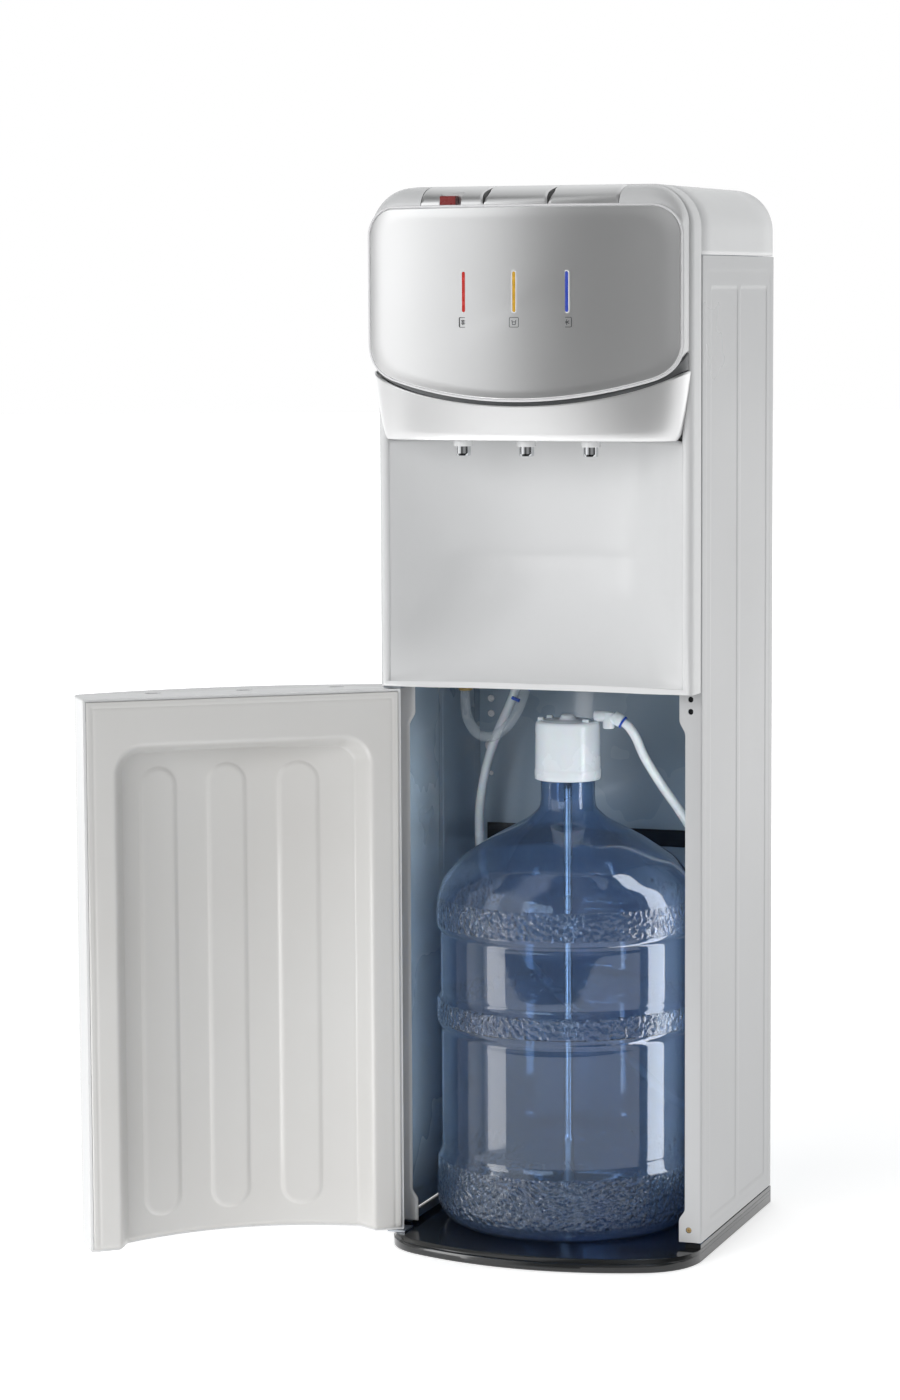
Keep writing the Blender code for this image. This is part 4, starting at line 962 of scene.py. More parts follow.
def flame_icon():
    """Three rising waves."""
    return [
        [(x + 0.0006 * math.sin(t * 2.2), -0.0022 + 0.0044 * t / 6) for t in range(7)]
        for x in (-0.0016, 0.0, 0.0016)
    ]


def cup_icon():
    side = [(0.0014, -0.0022), (0.0020, 0.0020)]
    return [[*((-x, z) for x, z in reversed(side)), *side], [(-0.0017, 0.0004), (0.0017, 0.0004)]]


def flake_icon():
    """Three strokes that cross."""
    ends = [(0.0025 * math.cos(a), 0.0025 * math.sin(a)) for a in map(math.radians, (30, 90, 150))]
    return [[(x, z), (-x, -z)] for x, z in ends]


def make_indicators():
    strokes = []
    icon_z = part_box("hot_indicator")[0].z - 0.0095
    half = 0.0046
    corners = [(-half, -half), (half, -half), (half, half), (-half, half)]
    border = [tuple(p) for p in filleted(corners, 0.0012, 3, True)]
    for name, glyph, finish, slot in (
        ("hot", flame_icon(), RED_WINDOW, "red_indicator"),
        ("room", cup_icon(), AMBER_WINDOW, "amber_indicator"),
        ("cold", flake_icon(), BLUE_WINDOW, "blue_indicator"),
    ):
        low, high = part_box(f"{name}_indicator")
        x, z = (low.x + high.x) / 2, (low.z + high.z) / 2
        wide, tall = (high.x - low.x) / 2, (high.z - low.z) / 2
        inner, outer = capsule(x, z, wide, tall), capsule(x, z, wide + 0.0011, tall + 0.0011)
        bar = prism(f"{name}_bar", inner, low.y, high.y, finish, axis="Y", rounding=0.0004)
        finish_piece(bar, "cabinet", slot, f"{name}_indicator")
        front = low.y + 0.00012
        bezel = prism(f"{name}_bezel", outer, front, high.y, RIM_WHITE, axis="Y", rounding=0.0003)
        finish_piece(bezel, "cabinet", "satin_silver")
        strokes += stroke([*border, border[0]], 0.0005, x, icon_z)
        for line in glyph:
            strokes += stroke(line, 0.0006, x, icon_z)
    finish_piece(join("indicator_icons", strokes), "cabinet", "grey_trim")


def button_top(name, low_x, high_x, finish):
    """A key that follows the head's slope; its ends by a neighbour are hollowed to a crescent."""
    back = BUTTON_BACK_Y
    shares = (
        0.0, 0.008, 0.02, 0.035, 0.055, 0.08, 0.11, 0.15, 0.2, 0.27, 0.36, 0.47, 0.6, 0.75, 0.9, 1.0
    )
    count = 41
    rows = []
    for share in shares:
        hollow = 0.0022 * math.sin(math.pi * min(1.0, share / 0.5)) ** 0.8
        left = low_x + (hollow if low_x > -0.09 else 0.0)
        right = high_x - (hollow if high_x < 0.09 else 0.0)
        row = []
        for x in spread(left, right, count):
            front = panel_y(x) + 0.0047
            y = front + (back - front) * share
            near = min((1 - share) * abs(back - front), x - left, right - x)
            drop = 0.0010 * (1 - min(1.0, near / 0.0012)) ** 2
            row.append((x, y, head_top_z(x, y) + 0.0006 - drop))
        rows.append(row)
    right_side = [row[-1] for row in rows[1:]]
    left_side = [row[0] for row in reversed(rows[1:-1])]
    ring = [*rows[0], *right_side, *reversed(rows[-1][:-1]), *left_side]
    points = [point for row in rows for point in row]
    faces = []
    for first in range(0, (len(rows) - 1) * count, count):
        for i in range(first, first + count - 1):
            faces.append((i, i + 1, i + count + 1, i + count))
    first, size = len(points), len(ring)
    points += ring
    points += [(x, y, KEY_FOOT) for x, y, _ in ring]
    for i in range(size):
        j = (i + 1) % size
        faces.append((first + i, first + j, first + size + j, first + size + i))
    faces.append(tuple(range(first + size, first + 2 * size)))
    return piece(f"{name}_key", points, faces, finish, 50.0)


def make_buttons():
    edge = BUTTON_EDGE + KEY_GAP
    outline = [(x, panel_y(x) + 0.0041) for x in spread(-edge, edge, 41)]
    outline += [(edge, BUTTON_BACK_Y + KEY_GAP), (-edge, BUTTON_BACK_Y + KEY_GAP)]
    cover = bpy.data.objects["head_cover"]
    cut(cover, prism("button_well", outline, WELL_FLOOR, 1.070, TRIM))
    low, high = (-edge, BUTTON_BACK_Y - 0.0010, WELL_FLOOR), (edge, BUTTON_BACK_Y + 0.0028, 1.050)
    cut(cover, box_piece("swing_room", low, high, TRIM, 0.0))
    lock_low, lock_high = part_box("child_lock")
    for name, low_x, high_x in (
        ("hot_button", -BUTTON_EDGE, -BUTTON_GAP_X - KEY_GAP),
        ("room_button", -BUTTON_GAP_X + KEY_GAP, BUTTON_GAP_X - KEY_GAP),
        ("cold_button", BUTTON_GAP_X + KEY_GAP, BUTTON_EDGE),
    ):
        key = button_top(name, low_x, high_x, SILVER)
        if name == "hot_button":
            low = (lock_low.x - KEY_GAP, -0.100, 1.02)
            high = (lock_high.x + KEY_GAP + LOCK_TRAVEL, lock_high.y + KEY_GAP, 1.07)
            cut(key, box_piece("slot", low, high, TRIM, 0.0))
        finish_piece(key, name, "satin_silver", name)


def make_child_lock():
    """A red slider with ridges across its top."""
    low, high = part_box("child_lock")
    halves = 8
    top = [(low.y + 0.0008, high.z)]
    for i in range(1, halves):
        y = low.y + (high.y - low.y) * i / halves
        top.append((y, high.z - (0.0007 if i % 2 else 0.0)))
    outline = [(low.y, low.z), (low.y, high.z - 0.0008), *top, (high.y, high.z), (high.y, low.z)]
    lock = prism("child_lock_slider", outline[::-1], low.x, high.x, RED, axis="X", rounding=0.0003)
    finish_piece(lock, "child_lock", "red_plastic", "child_lock")


def wrap_y(x, half, middle_y, power=2.6):
    """A bowed plan that turns back to the head's rear plane at its two ends."""
    back = HEAD_BACK_Y - 0.0004
    return back + (middle_y - back) * max(0.0, 1 - abs(x / half) ** power) ** (1 / power)


def fascia_top(x):
    return PANEL_LOW - 0.007 + PANEL_LOW_RISE * (x / 0.156) ** 2 + 0.007 * (x / PANEL_HALF) ** 6


def make_fascia():
    """The silver skirt over the taps, leaning out towards its top."""
    rows = []
    for share in (0.0, 0.01, 0.03, 0.08, 0.2, 0.35, 0.5, 0.65, 0.8, 0.92, 0.97, 1.0):
        half = 0.1476 + 0.0124 * share**0.6
        tuck = 0.0012 * max(0.0, 1 - share / 0.05)
        middle_y = -0.076 - 0.0115 * share + tuck
        row = []
        for x in head_stations(half - tuck * 0.5, 97):
            top = fascia_top(x) + 0.0026 * (1 - (x / PANEL_HALF) ** 2)
            row.append((x, wrap_y(x, half, middle_y), PLATE_Z + (top - PLATE_Z) * share))
        rows.append(row)
    skirt = wall(skin("spout_skirt", rows, SILVER, sharp=60.0), 0.002)
    finish_piece(skirt, "cabinet", "satin_silver", "spout_fascia")


def make_trim_strip():
    """The dark groove between the skirt and the silver panel."""
    half = 0.1582
    rows = []
    for share in spread(0.0, 1.0, 7):
        row = []
        for x in head_stations(half, 97):
            low, high = fascia_top(x) + 0.0018, panel_low(x) + 0.0028
            hollow = 0.0012 * math.sin(math.pi * share)
            row.append((x, wrap_y(x, half, -0.081 + hollow), low + (high - low) * share))
        rows.append(row)
    strip = wall(skin("trim_groove", rows, TRIM, sharp=60.0), 0.0012)
    finish_piece(strip, "cabinet", "grey_trim", "head_trim_strip")


def make_taps():
    for name in ("hot", "room", "cold"):
        low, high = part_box(f"{name}_nozzle")
        centre = ((low.x + high.x) / 2, (low.y + high.y) / 2, 0.0)
        radius, tip = (high.x - low.x) / 2, low.z
        # The close pairs of points on the straight wall keep its smooth shading flat
        profile = [
            (0.0060, high.z), (radius - 0.0003, high.z - 0.0004), (radius, 0.8205), (radius, 0.8200),
            (radius, 0.8120), (radius, 0.8040), (radius, tip + 0.0028), (radius, tip + 0.0022),
            (radius - 0.0003, tip + 0.0006), (radius - 0.0010, tip + 0.0001), (0.0056, tip),
            (0.0051, tip + 0.0003), (0.0048, 0.7990), (0.0048, high.z), (0.0060, high.z),
        ]
        spout = turned(f"{name}_spout", profile, centre, CHROME, 56)
        finish_piece(spout, "cabinet", "chrome", f"{name}_nozzle")
        mesh = [(0.0, 0.8035), (0.0046, 0.8035), (0.0046, 0.8020), (0.0012, 0.8016), (0.0, 0.8016)]
        straightener = turned(f"{name}_flow_straightener", mesh, centre, TRIM, 32)
        finish_piece(straightener, "cabinet", "grey_trim")


# Door, drawn shut and turned open about its hinge


def open_door(points):
    """Turns points of the shut door to where it stands open."""
    turn = Matrix.Rotation(DOOR_OPEN, 3, "Z")
    return [HINGE + turn @ (Vector(point) - HINGE) for point in points]


def door_front_y(x):
    return DOOR_MID_Y + (DOOR_EDGE_Y - DOOR_MID_Y) * (x / HALF_WIDTH) ** 2


def door_path(inset=0.0):
    """The door's skin from above, from its rear right round the front to its rear left."""
    half = HALF_WIDTH - inset
    radius = 0.010 - inset
    corner_x = half - radius
    corner_y = door_front_y(corner_x) + inset + radius
    front = [(x, door_front_y(x) + inset) for x in spread(-corner_x, corner_x, 49)]
    left = arc((-corner_x, corner_y), radius, 180, 262, 10)[:-1]
    sides = [(-half, DOOR_BACK_Y - 0.006 * i) for i in range(8)]
    path = [*sides, *left, *front]
    mirrored = [(-x, y) for x, y in reversed([*sides, *left])]
    return list(reversed([*path, *mirrored]))


def recess_depth(x, z):
    """How deep the liner is at a place: its dished recess and three long round-ended beads."""
    from_side = RECESS_HALF - abs(x)
    from_top = RECESS_TOP - z
    if from_side < RECESS_CORNER and from_top < RECESS_CORNER:
        inside = RECESS_CORNER - math.hypot(RECESS_CORNER - from_side, RECESS_CORNER - from_top)
    else:
        inside = min(from_side, from_top)
    floor_x = RECESS_HALF - RECESS_WALL
    fall = RECESS_MID_DEPTH - RECESS_SIDE_DEPTH
    floor = RECESS_MID_DEPTH - fall * min(1.0, abs(x) / floor_x) ** 2
    depth = floor * smooth_step(inside / RECESS_WALL)
    for middle in BEADS_X:
        run = min(max(z, BEADS_LOW + BEAD_HALF), BEADS_HIGH - BEAD_HALF)
        reach = BEAD_HALF - math.hypot(x - middle, z - run)
        depth -= BEAD_RISE * smooth_step((reach + 0.0015) / 0.004)
    return depth


def border_line(x, z):
    """A shallow line pressed round the liner's flat border."""
    half = HALF_WIDTH - WALL - GAP
    from_edge = min(half - abs(x), DOOR_HIGH - WALL - z)
    return 0.0007 * smooth_step(1 - abs(from_edge - 0.0065) / 0.0016)


def door_block(name, rows):
    """A closed white piece of the shut door, turned to where the door stands open."""
    return skin(name, [open_door(row) for row in rows], WHITE, True, ("first", "last"), 50.0)


def door_rings(levels, extra=()):
    """Rings of the door's plan at (z, inset) levels, each closed by extra points."""
    rings = []
    for z, inset in levels:
        path = door_path(inset)
        rings.append([(x, y, z) for x, y in [*path, *extra]])
    return rings


def make_door_skin():
    ring = [*door_path(), *reversed(door_path(WALL))]
    heights = spread(DOOR_LOW + WALL, DOOR_HIGH - WALL, 12)
    walls = door_block("door_walls", [[(x, y, z) for x, y in ring] for z in heights])
    lid_levels = (
        (DOOR_HIGH - WALL, 0.0), (DOOR_HIGH - 0.0014, 0.0), (DOOR_HIGH - 0.0005, 0.0004),
        (DOOR_HIGH, 0.0014),
    )
    lid = door_block("door_lid", door_rings(lid_levels))
    half = RECESS_HALF - 0.001
    mouth = [(x, DOOR_BACK_Y - recess_depth(x, 0.030) - 0.0024) for x in spread(-half, half, 61)]
    sill_levels = (
        (DOOR_LOW, 0.0014), (DOOR_LOW + 0.0005, 0.0004), (DOOR_LOW + 0.0014, 0.0),
        (DOOR_LOW + WALL, 0.0),
    )
    sill = door_block("door_sill", door_rings(sill_levels, mouth))
    slots = []
    heights = (DOOR_HIGH - 0.006, DOOR_HIGH + 0.004)
    for x in (-0.105, -0.010, 0.082):
        outline = arc((x - 0.004, -0.040), 0.0042, 90, 270, 10)
        outline += arc((x + 0.004, -0.040), 0.0042, -90, 90, 10)
        slots.append(door_block("top_hole", [[(a, b, z) for a, b in outline] for z in heights]))
    pin = arc((HINGE.x, HINGE.y), 0.0026, 0, 340, 17)
    bores = []
    for heights in ((DOOR_LOW - 0.005, 0.030), (0.548, DOOR_HIGH + 0.005)):
        rows = [[(a, b, z) for a, b in pin] for z in heights]
        bores.append(skin("pin_hole", rows, WHITE, closed=True, caps=("first", "last")))
    cut(lid, *slots, bores[1])
    cut(sill, bores[0])
    finish_piece(join("door_shell", [walls, lid, sill]), "door", "gloss_white_plastic", "door_skin")


def make_door_liner():
    edge = HALF_WIDTH - WALL - GAP
    across = lines(
        (-edge, -0.134, 0.0015), (-0.134, -0.114, 0.0010), (-0.114, 0.114, 0.0020),
        (0.114, 0.134, 0.0010), (0.134, edge, 0.0015),
    )
    upward = lines(
        (DOOR_LOW + WALL + GAP, 0.036, 0.004), (0.036, 0.064, 0.0016), (0.064, 0.460, 0.020),
        (0.460, 0.522, 0.0012), (0.522, DOOR_HIGH - 0.012, 0.004),
        (DOOR_HIGH - 0.012, DOOR_HIGH - WALL - GAP, 0.0012),
    )
    rows = []
    for z in upward:
        row = [(x, DOOR_BACK_Y - recess_depth(x, z) - border_line(x, z), z) for x in across]
        rows.append(open_door(row))
    liner = wall(skin("door_inner_panel", rows, LINER, sharp=60.0), 0.0018)
    finish_piece(liner, "door", "door_liner_plastic", "door_liner")


# Bottle and pump cap


def bottle_profile():
    """The bottle's outer side from its lip down to the middle of its foot."""
    corners = [
        (0.0262, NECK_TOP), (0.0275, NECK_TOP - 0.0010), (0.0275, 0.4440), (0.0290, 0.4360),
        (0.0400, 0.4255), (0.0770, 0.4055), (0.1090, 0.3850), (0.1265, 0.3650), (0.1338, 0.3440),
        (0.1340, 0.3200), (0.1322, 0.3150), (0.1296, 0.3120), (0.1296, 0.3085), (0.1300, 0.3060),
        (0.1300, 0.2530), (0.1293, 0.2500), (0.1300, 0.2470), (0.1336, 0.2415), (0.1340, 0.2390),
        (0.1340, 0.2240), (0.1330, 0.2190), (0.1296, 0.2140), (0.1288, 0.2110), (0.1293, 0.2060),
        (0.1293, 0.0960), (0.1286, 0.0915), (0.1298, 0.0870), (0.1336, 0.0800), (0.1340, 0.0770),
        (0.1340, 0.0400), (0.1325, 0.0300), (0.1260, 0.0190), (0.1130, BOTTLE_LOW.z),
        (0.0900, BOTTLE_LOW.z), (0.0640, 0.0190), (0.0300, 0.0210), (0.0, 0.0215),
    ]
    rounded = filleted(corners, 0.006, 4)
    made = [rounded[0]]
    for point in rounded[1:]:
        banded = any(low < point.y < high for low, high in HAMMERED_BANDS)
        parts = max(1, round((point - made[-1]).length / (0.0013 if banded else 0.005)))
        start = made[-1]
        if (point - start).length > 1e-6:
            made += [start + (point - start) * (i + 1) / parts for i in range(parts)]
    return [(point.x, point.y) for point in made]


def hammered(out, height):
    """Small dimples in the bottle's three bands."""
    strength = 0.0
    for low, high in HAMMERED_BANDS:
        above, below = (height - low) / BAND_EDGE, (high - height) / BAND_EDGE
        strength = max(strength, smooth_step(above) * smooth_step(below))
    if strength == 0.0:
        return 0.0
    place = Vector((out.x, out.y, height)) / DIMPLE_SIZE
    return -DIMPLE_DEPTH * strength * max(0.0, 0.4 + noise.noise(place))


def hammer_fine_grain():
    """A finer grain on top of the dimples, within the three bands alone."""
    tree = BLUE_PC.node_tree
    before = tree.nodes["Principled BSDF"].inputs["Normal"].links[0].from_socket
    place = object_place(tree)
    height = add_node(tree, "SeparateXYZ", Vector=place).outputs["Z"]
    in_bands = 0.0
    for low, high in HAMMERED_BANDS:
        in_band = calculation(tree, "COMPARE", height, (low + high) / 2, (high - low) / 2)
        in_bands = calculation(tree, "MAXIMUM", in_bands, in_band)
    grain = add_node(tree, "TexNoise", Vector=place, Scale=FINE_GRAIN, Detail=0.0)
    relief = calculation(tree, "MULTIPLY", grain.outputs["Fac"], in_bands)
    bump(tree, relief, 1.0, FINE_GRAIN_DEPTH, Normal=before)


def make_bottle():
    hammer_fine_grain()
    shell = turned(
        "bottle_shell", bottle_profile(), BOTTLE_FOOT, BLUE_PC, 640, relief=hammered, sharp=80.0
    )
    wall(shell, BOTTLE_WALL)
    shell.modifiers["wall"].use_even_offset = False
    finish_piece(shell, "bottle", "blue_polycarbonate", "bottle")


def make_pump_cap():
    cap_low, cap_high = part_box("pump_cap")
    top, inside = CAP_TOP, 0.5050
    profile = [
        (0.0, cap_high.z), (0.0040, cap_high.z - 0.0001), (0.0068, cap_high.z - 0.0012),
        (0.0074, cap_high.z - 0.0034), (0.0090, top + 0.0006), (0.0240, top), (0.0246, top - 0.0008),
        (0.0256, top - 0.0008), (0.0262, top - 0.0001), (0.0306, top - 0.0008), (0.0322, top - 0.0026),
        (0.0326, top - 0.0050), (0.0330, 0.4760), (0.0335, 0.4745), (0.0335, 0.4690),
        (0.0331, cap_low.z + 0.0008), (0.0324, cap_low.z), (0.0286, cap_low.z), (0.0286, inside),
        (0.0, inside),
    ]
    profile = [(p.x, p.y) for p in filleted(profile, 0.0006, 2)]
    cap = turned("pump_cap_body", profile, BOTTLE_FOOT, CAP_WHITE, 120)
    finish_piece(cap, "bottle", "cap_white", "pump_cap")
    reach, half_x, half_y = 0.0270, 0.0032, 0.0022
    for number, angle in enumerate((150, 196, 330), 1):
        a = math.radians(angle)
        x, y = BOTTLE_X + reach * math.cos(a), BOTTLE_Y + reach * math.sin(a)
        low, high = (x - half_x, y - half_y, top - 0.0015), (x + half_x, y + half_y, top + 0.0026)
        tab = box_piece(f"cap_tab_{number}", low, high, CAP_WHITE, 0.0010)
        finish_piece(tab, "bottle", "cap_white")


def make_dip_tube():
    low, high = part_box("dip_tube")
    profile = [
        (0.0, high.z), (0.0036, high.z), (0.0040, high.z - 0.0006), (0.0040, 0.1010), (0.0046, 0.0990),
        (0.0054, 0.0960), (0.0055, 0.0900), (0.0055, 0.0330), (0.0048, low.z), (0.0, low.z),
    ]
    rod = turned("dip_rod", profile, BOTTLE_FOOT, STEEL, 40)
    finish_piece(rod, "bottle", "stainless_steel", "dip_tube")


def make_cap_elbow():
    """The fitting on the cap: an elbow over a stub, and the collet that grips the suction hose."""
    bend_route = [
        (0.0225, 0.0900, 0.5290), (0.0300, 0.0900, 0.5292), (0.0360, 0.0901, 0.5290),
        (0.0395, 0.0902, 0.5282), (0.0425, 0.0903, 0.5266), (0.0455, 0.0904, 0.5254),
    ]
    body = swept("cap_elbow", smooth_route(bend_route, 0.001), 0.0056, CAP_WHITE, 32)
    stub_profile = [
        (0.0, 0.5335), (0.0050, 0.5335), (0.0058, 0.5325), (0.0060, 0.5180), (0.0052, 0.5170),
        (0.0, 0.5170),
    ]
    stub = turned("cap_stub", stub_profile, (0.0370, 0.0900, 0.0), CAP_WHITE, 40)
    along = (Vector(SUCTION_ROUTE[1]) - Vector(SUCTION_ROUTE[0])).normalized()
    start = Vector(SUCTION_ROUTE[0]) - along * 0.0004
    sleeve_profile = [
        (0.0, 0.0), (0.0062, 0.0), (0.0068, -0.0008), (0.0068, -0.0060), (0.0062, -0.0068),
        (0.0060, -0.0100), (0.0, -0.0100),
    ]
    sleeve = turned("collet_body", sleeve_profile, start, CAP_WHITE, 40, along=along)
    ring_profile = [
        (0.0050, 0.0022), (0.0064, 0.0020), (0.0067, 0.0014), (0.0067, 0.0004), (0.0050, 0.0004),
        (0.0050, 0.0022),
    ]
    ring = turned("collet_ring", ring_profile, start, BLUE_CLIP, 40, along=along)
    fitting = join("cap_elbow_fitting", [body, stub, sleeve, ring])
    finish_piece(fitting, "bottle", "white_hose", "cap_fitting")


# Small pieces in the bay and on the back


def make_bay_grille():
    middle_z, half, half_x = 0.3835, 0.009, 0.1500
    face_y = BACK_LOW.y - 0.0024
    low, high = (-half_x, face_y, middle_z - half), (half_x, face_y + 0.0006, middle_z + half)
    bars = [box_piece("bar", low, high, BLACK, 0.0002)]
    for row in range(3):
        for column in range(12):
            x = -0.1370 + 0.0249 * column
            z = middle_z - 0.0055 + 0.0055 * row
            low = (x - 0.0112, face_y - 0.0010, z - 0.0009)
            high = (x + 0.0112, face_y + 0.0001, z + 0.0009)
            bars.append(box_piece("slat", low, high, BLACK, 0.0003))
    finish_piece(join("bay_grille", bars), "cabinet", "gloss_black_plastic")


def make_hose_clips():
    clips = []
    for x, y, z, turn in ((-0.0822, 0.150, 0.5370, 20), (-0.0662, 0.150, 0.5510, -70)):
        half = Vector((0.0045, 0.0020, 0.0016))
        clip = box_piece("clip", -half, half, BLUE_CLIP, 0.0006)
        clip.data.transform(Matrix.Translation((x, y, z)) @ Matrix.Rotation(math.radians(turn), 4, "Y"))
        clips.append(clip)
    band = [
        (0.0056, 0.0014), (0.0070, 0.0014), (0.0072, 0.0008), (0.0072, -0.0008), (0.0070, -0.0014),
        (0.0056, -0.0014), (0.0056, 0.0014),
    ]
    for z, finish in ((0.5470, BLUE_CLIP), (0.5440, AMBER_CLIP)):
        clips.append(turned("band", band, (-0.1434, 0.1680, z), finish, 32))
    finish_piece(join("hose_clips", clips), "cabinet", "gloss_black_plastic")


def make_plugs_painted_as_lit_holes():
    """Rivet-shaped white plugs in the column of holes in the bay's rear panel; their white is painted
    light, standing in for the light seen through these holes.
    """
    rivets = []
    for z, radius in ((0.525, 0.0038), (0.509, 0.0038), (0.475, 0.0068), (0.445, 0.0025)):
        head = [(0.0, 0.0006), (radius * 0.3, 0.0006), (radius * 0.4, 0.0014), (radius * 0.8, 0.0013)]
        head += [(radius, 0.0003), (radius, 0.0), (0.0, 0.0)]
        rivets.append(turned("rivet", head, (PAINTED_LIT_HOLES_X, BACK_LOW.y, z), WHITE, 24, along=(0, -1, 0)))
    finish_piece(join("plugs_painted_as_lit_holes", rivets), "cabinet", "gloss_white_plastic")


def screw(name, place, along, finish=ZINC, size=0.0032):
    """A pan-head screw with a cross recess."""
    turn = Vector(along).to_track_quat("Z", "Y").to_matrix().to_4x4()
    head = [(r * size, h * size) for r, h in ((0, 0.62), (0.5, 0.56), (0.85, 0.36), (1, 0), (0, 0))]
    made = turned(name, head, (0.0, 0.0, 0.0), finish, 24)
    slots = []
    for wide, tall in ((size * 0.62, size * 0.11), (size * 0.11, size * 0.62)):
        slots.append(box_piece("slot", (-wide, -tall, size * 0.34), (wide, tall, size), finish, 0.0))
    cut(made, *slots)
    made.data.transform(Matrix.Translation(place) @ turn)
    return made


def make_back_screws():
    places = [(x, z) for x in (-0.1515, 0.1515) for z in (0.060, 0.240, 0.420, 0.600, 0.780, 0.950)]
    places += [(x, z) for x in (-0.075, 0.0, 0.075) for z in (0.970, 0.036)]
    screws = [screw("screw", (x, BACK_HIGH.y, z), (0, 1, 0)) for x, z in places]
    finish_piece(join("back_screws", screws), "cabinet", "zinc_plated_steel")


def make_back_pressings():
    """Raised rectangles in the rear panel, in two rows of three."""
    half, rise = 0.038, 0.0011
    beads = []
    for low_z, high_z in ((0.060, 0.350), (0.420, 0.560)):
        for x in (-0.098, 0.0, 0.098):
            corners = [(x + half, low_z), (x - half, low_z), (x - half, high_z), (x + half, high_z)]
            outline = [tuple(p) for p in filleted(corners, 0.012, 8, True)]
            rings = []
            for inset, lift in ((0.0, 0.0001), (0.001, 0.0004), (0.0024, rise), (0.0034, rise)):
                rings.append([(a, BACK_HIGH.y + lift, b) for a, b in shrunk(outline, -inset)])
            beads.append(skin("bead", rings, SLATE, closed=True, caps=("first", "last"), sharp=60.0))
    finish_piece(join("back_pressings", beads), "cabinet", "slate_painted_steel")


def make_drain_cap():
    """The screw cap on the rear, with a fluted grip."""
    low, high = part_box("drain_cap")
    middle = (low + high) / 2
    tall, radius = high.y - low.y, (high.x - low.x) / 2
    steps, flutes, flute_depth = 144, 24, 0.0005
    profile = [
        (0.0, tall - 0.0010), (0.0080, tall - 0.0010), (0.0088, tall), (radius - 0.0012, tall),
        (radius, tall - 0.0012), (radius, 0.0), (0.0, 0.0),
    ]
    rows = []
    for r, h in profile:
        row = []
        for i in range(steps):
            a = 2 * math.pi * i / steps
            fluted = r > 0.0115 and 0.0 < h < tall
            size = r - (flute_depth * (0.5 + 0.5 * math.cos(a * flutes)) if fluted else 0.0)
            row.append((middle.x + size * math.cos(a), low.y + h, middle.z + size * math.sin(a)))
        rows.append(row)
    plug = skin("drain_plug", rows, WHITE, closed=True)
    finish_piece(plug, "cabinet", "gloss_white_plastic", "drain_cap")


def make_pump():
    low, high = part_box("water_pump")
    top, radius, groove = 0.0890, 0.0203, 0.0196
    profile = [(0.0, top), (0.0195, top), (radius, top - 0.0008)]
    for i in range(9):
        z = 0.0820 - 0.0065 * i
        profile += [(radius, z + 0.0016), (groove, z + 0.0010)]
        profile += [(groove, z - 0.0010), (radius, z - 0.0016)]
    profile += [(radius, low.z + 0.002), (0.0195, low.z), (0.0, low.z)]
    head_top = 0.1180
    parts = [
        turned("pump_motor", profile, (0.1270, 0.2270, 0.0), BLACK, 64),
        box_piece("pump_head", (0.1060, 0.2060, 0.0892), (0.1480, 0.2480, head_top), BLACK, 0.0030),
    ]
    inlet = [
        (0.0, high.z), (0.0040, high.z), (0.0045, high.z - 0.0008), (0.0045, 0.1220), (0.0060, 0.1212),
        (0.0060, 0.1170), (0.0, 0.1170),
    ]
    parts.append(turned("pump_inlet", inlet, (0.1400, 0.2165, 0.0), CAP_WHITE, 32))
    outlet = [
        (0.0, 0.0072), (0.0040, 0.0072), (0.0045, 0.0064), (0.0045, 0.0020), (0.0060, 0.0012),
        (0.0060, -0.0020), (0.0, -0.0020),
    ]
    outlet_start = (0.1062, 0.2370, 0.1030)
    parts.append(turned("pump_outlet", outlet, outlet_start, CAP_WHITE, 32, along=(-1, 0, 0)))
    for x in (0.1110, 0.1430):
        for y in (0.2110, 0.2430):
            parts.append(screw("screw", (x, y, head_top), (0, 0, 1), ZINC, 0.0022))
    finish_piece(join("bay_pump", parts), "cabinet", "gloss_black_plastic", "water_pump")


# CAD nodes that stay

# A finish, the rounding of the edges, and the nodes that have both
KEPT = (
    (SLATE, 0.0, ("back_panel",)),
    (BLACK, 0.0006, ("base_rim",)),
    (BLACK, 0.0007, ("switch_plate",)),
    (BLACK, 0.0008, ("cool_switch", "door_magnet")),
    (BLACK, 0.0020, ("control_box",)),
    (RED, 0.0008, ("heat_switch",)),
    (ZINC, 0.0003, ("bay_ceiling", "upper_hinge", "lower_hinge")),
    (ZINC, 0.0004, ("door_strike",)),
    (STEEL, 0.0, ("cold_tank", "hot_tank")),
    (STEEL, 0.0003, ("upper_hinge_pin", "lower_hinge_pin")),
    (FOAM, 0.0015, ("cold_tank_insulation",)),
    (ALUMINIUM, 0.0004, ("heat_sink",)),
    (WHITE, 0.0, ("cold_tap_valve", "hot_tap_valve", "room_tap_valve")),
    (WHITE, 0.0006, ("tap_plate",)),
    (SILICONE, 0.0, ("hot_water_hose", "cold_water_hose", "room_water_hose")),
    (RUBBER, 0.0004, ("cord_gland",)),
    (RUBBER, 0.0006, ("foot_1", "foot_2", "foot_3", "foot_4")),
)


def finish_kept_nodes():
    for finish, rounding, names in KEPT:
        for name in names:
            node = NODES[name]
            node.data.materials.clear()
            node.data.materials.append(finish)
            if rounding:
                soften(node, rounding, 2)


# Studio


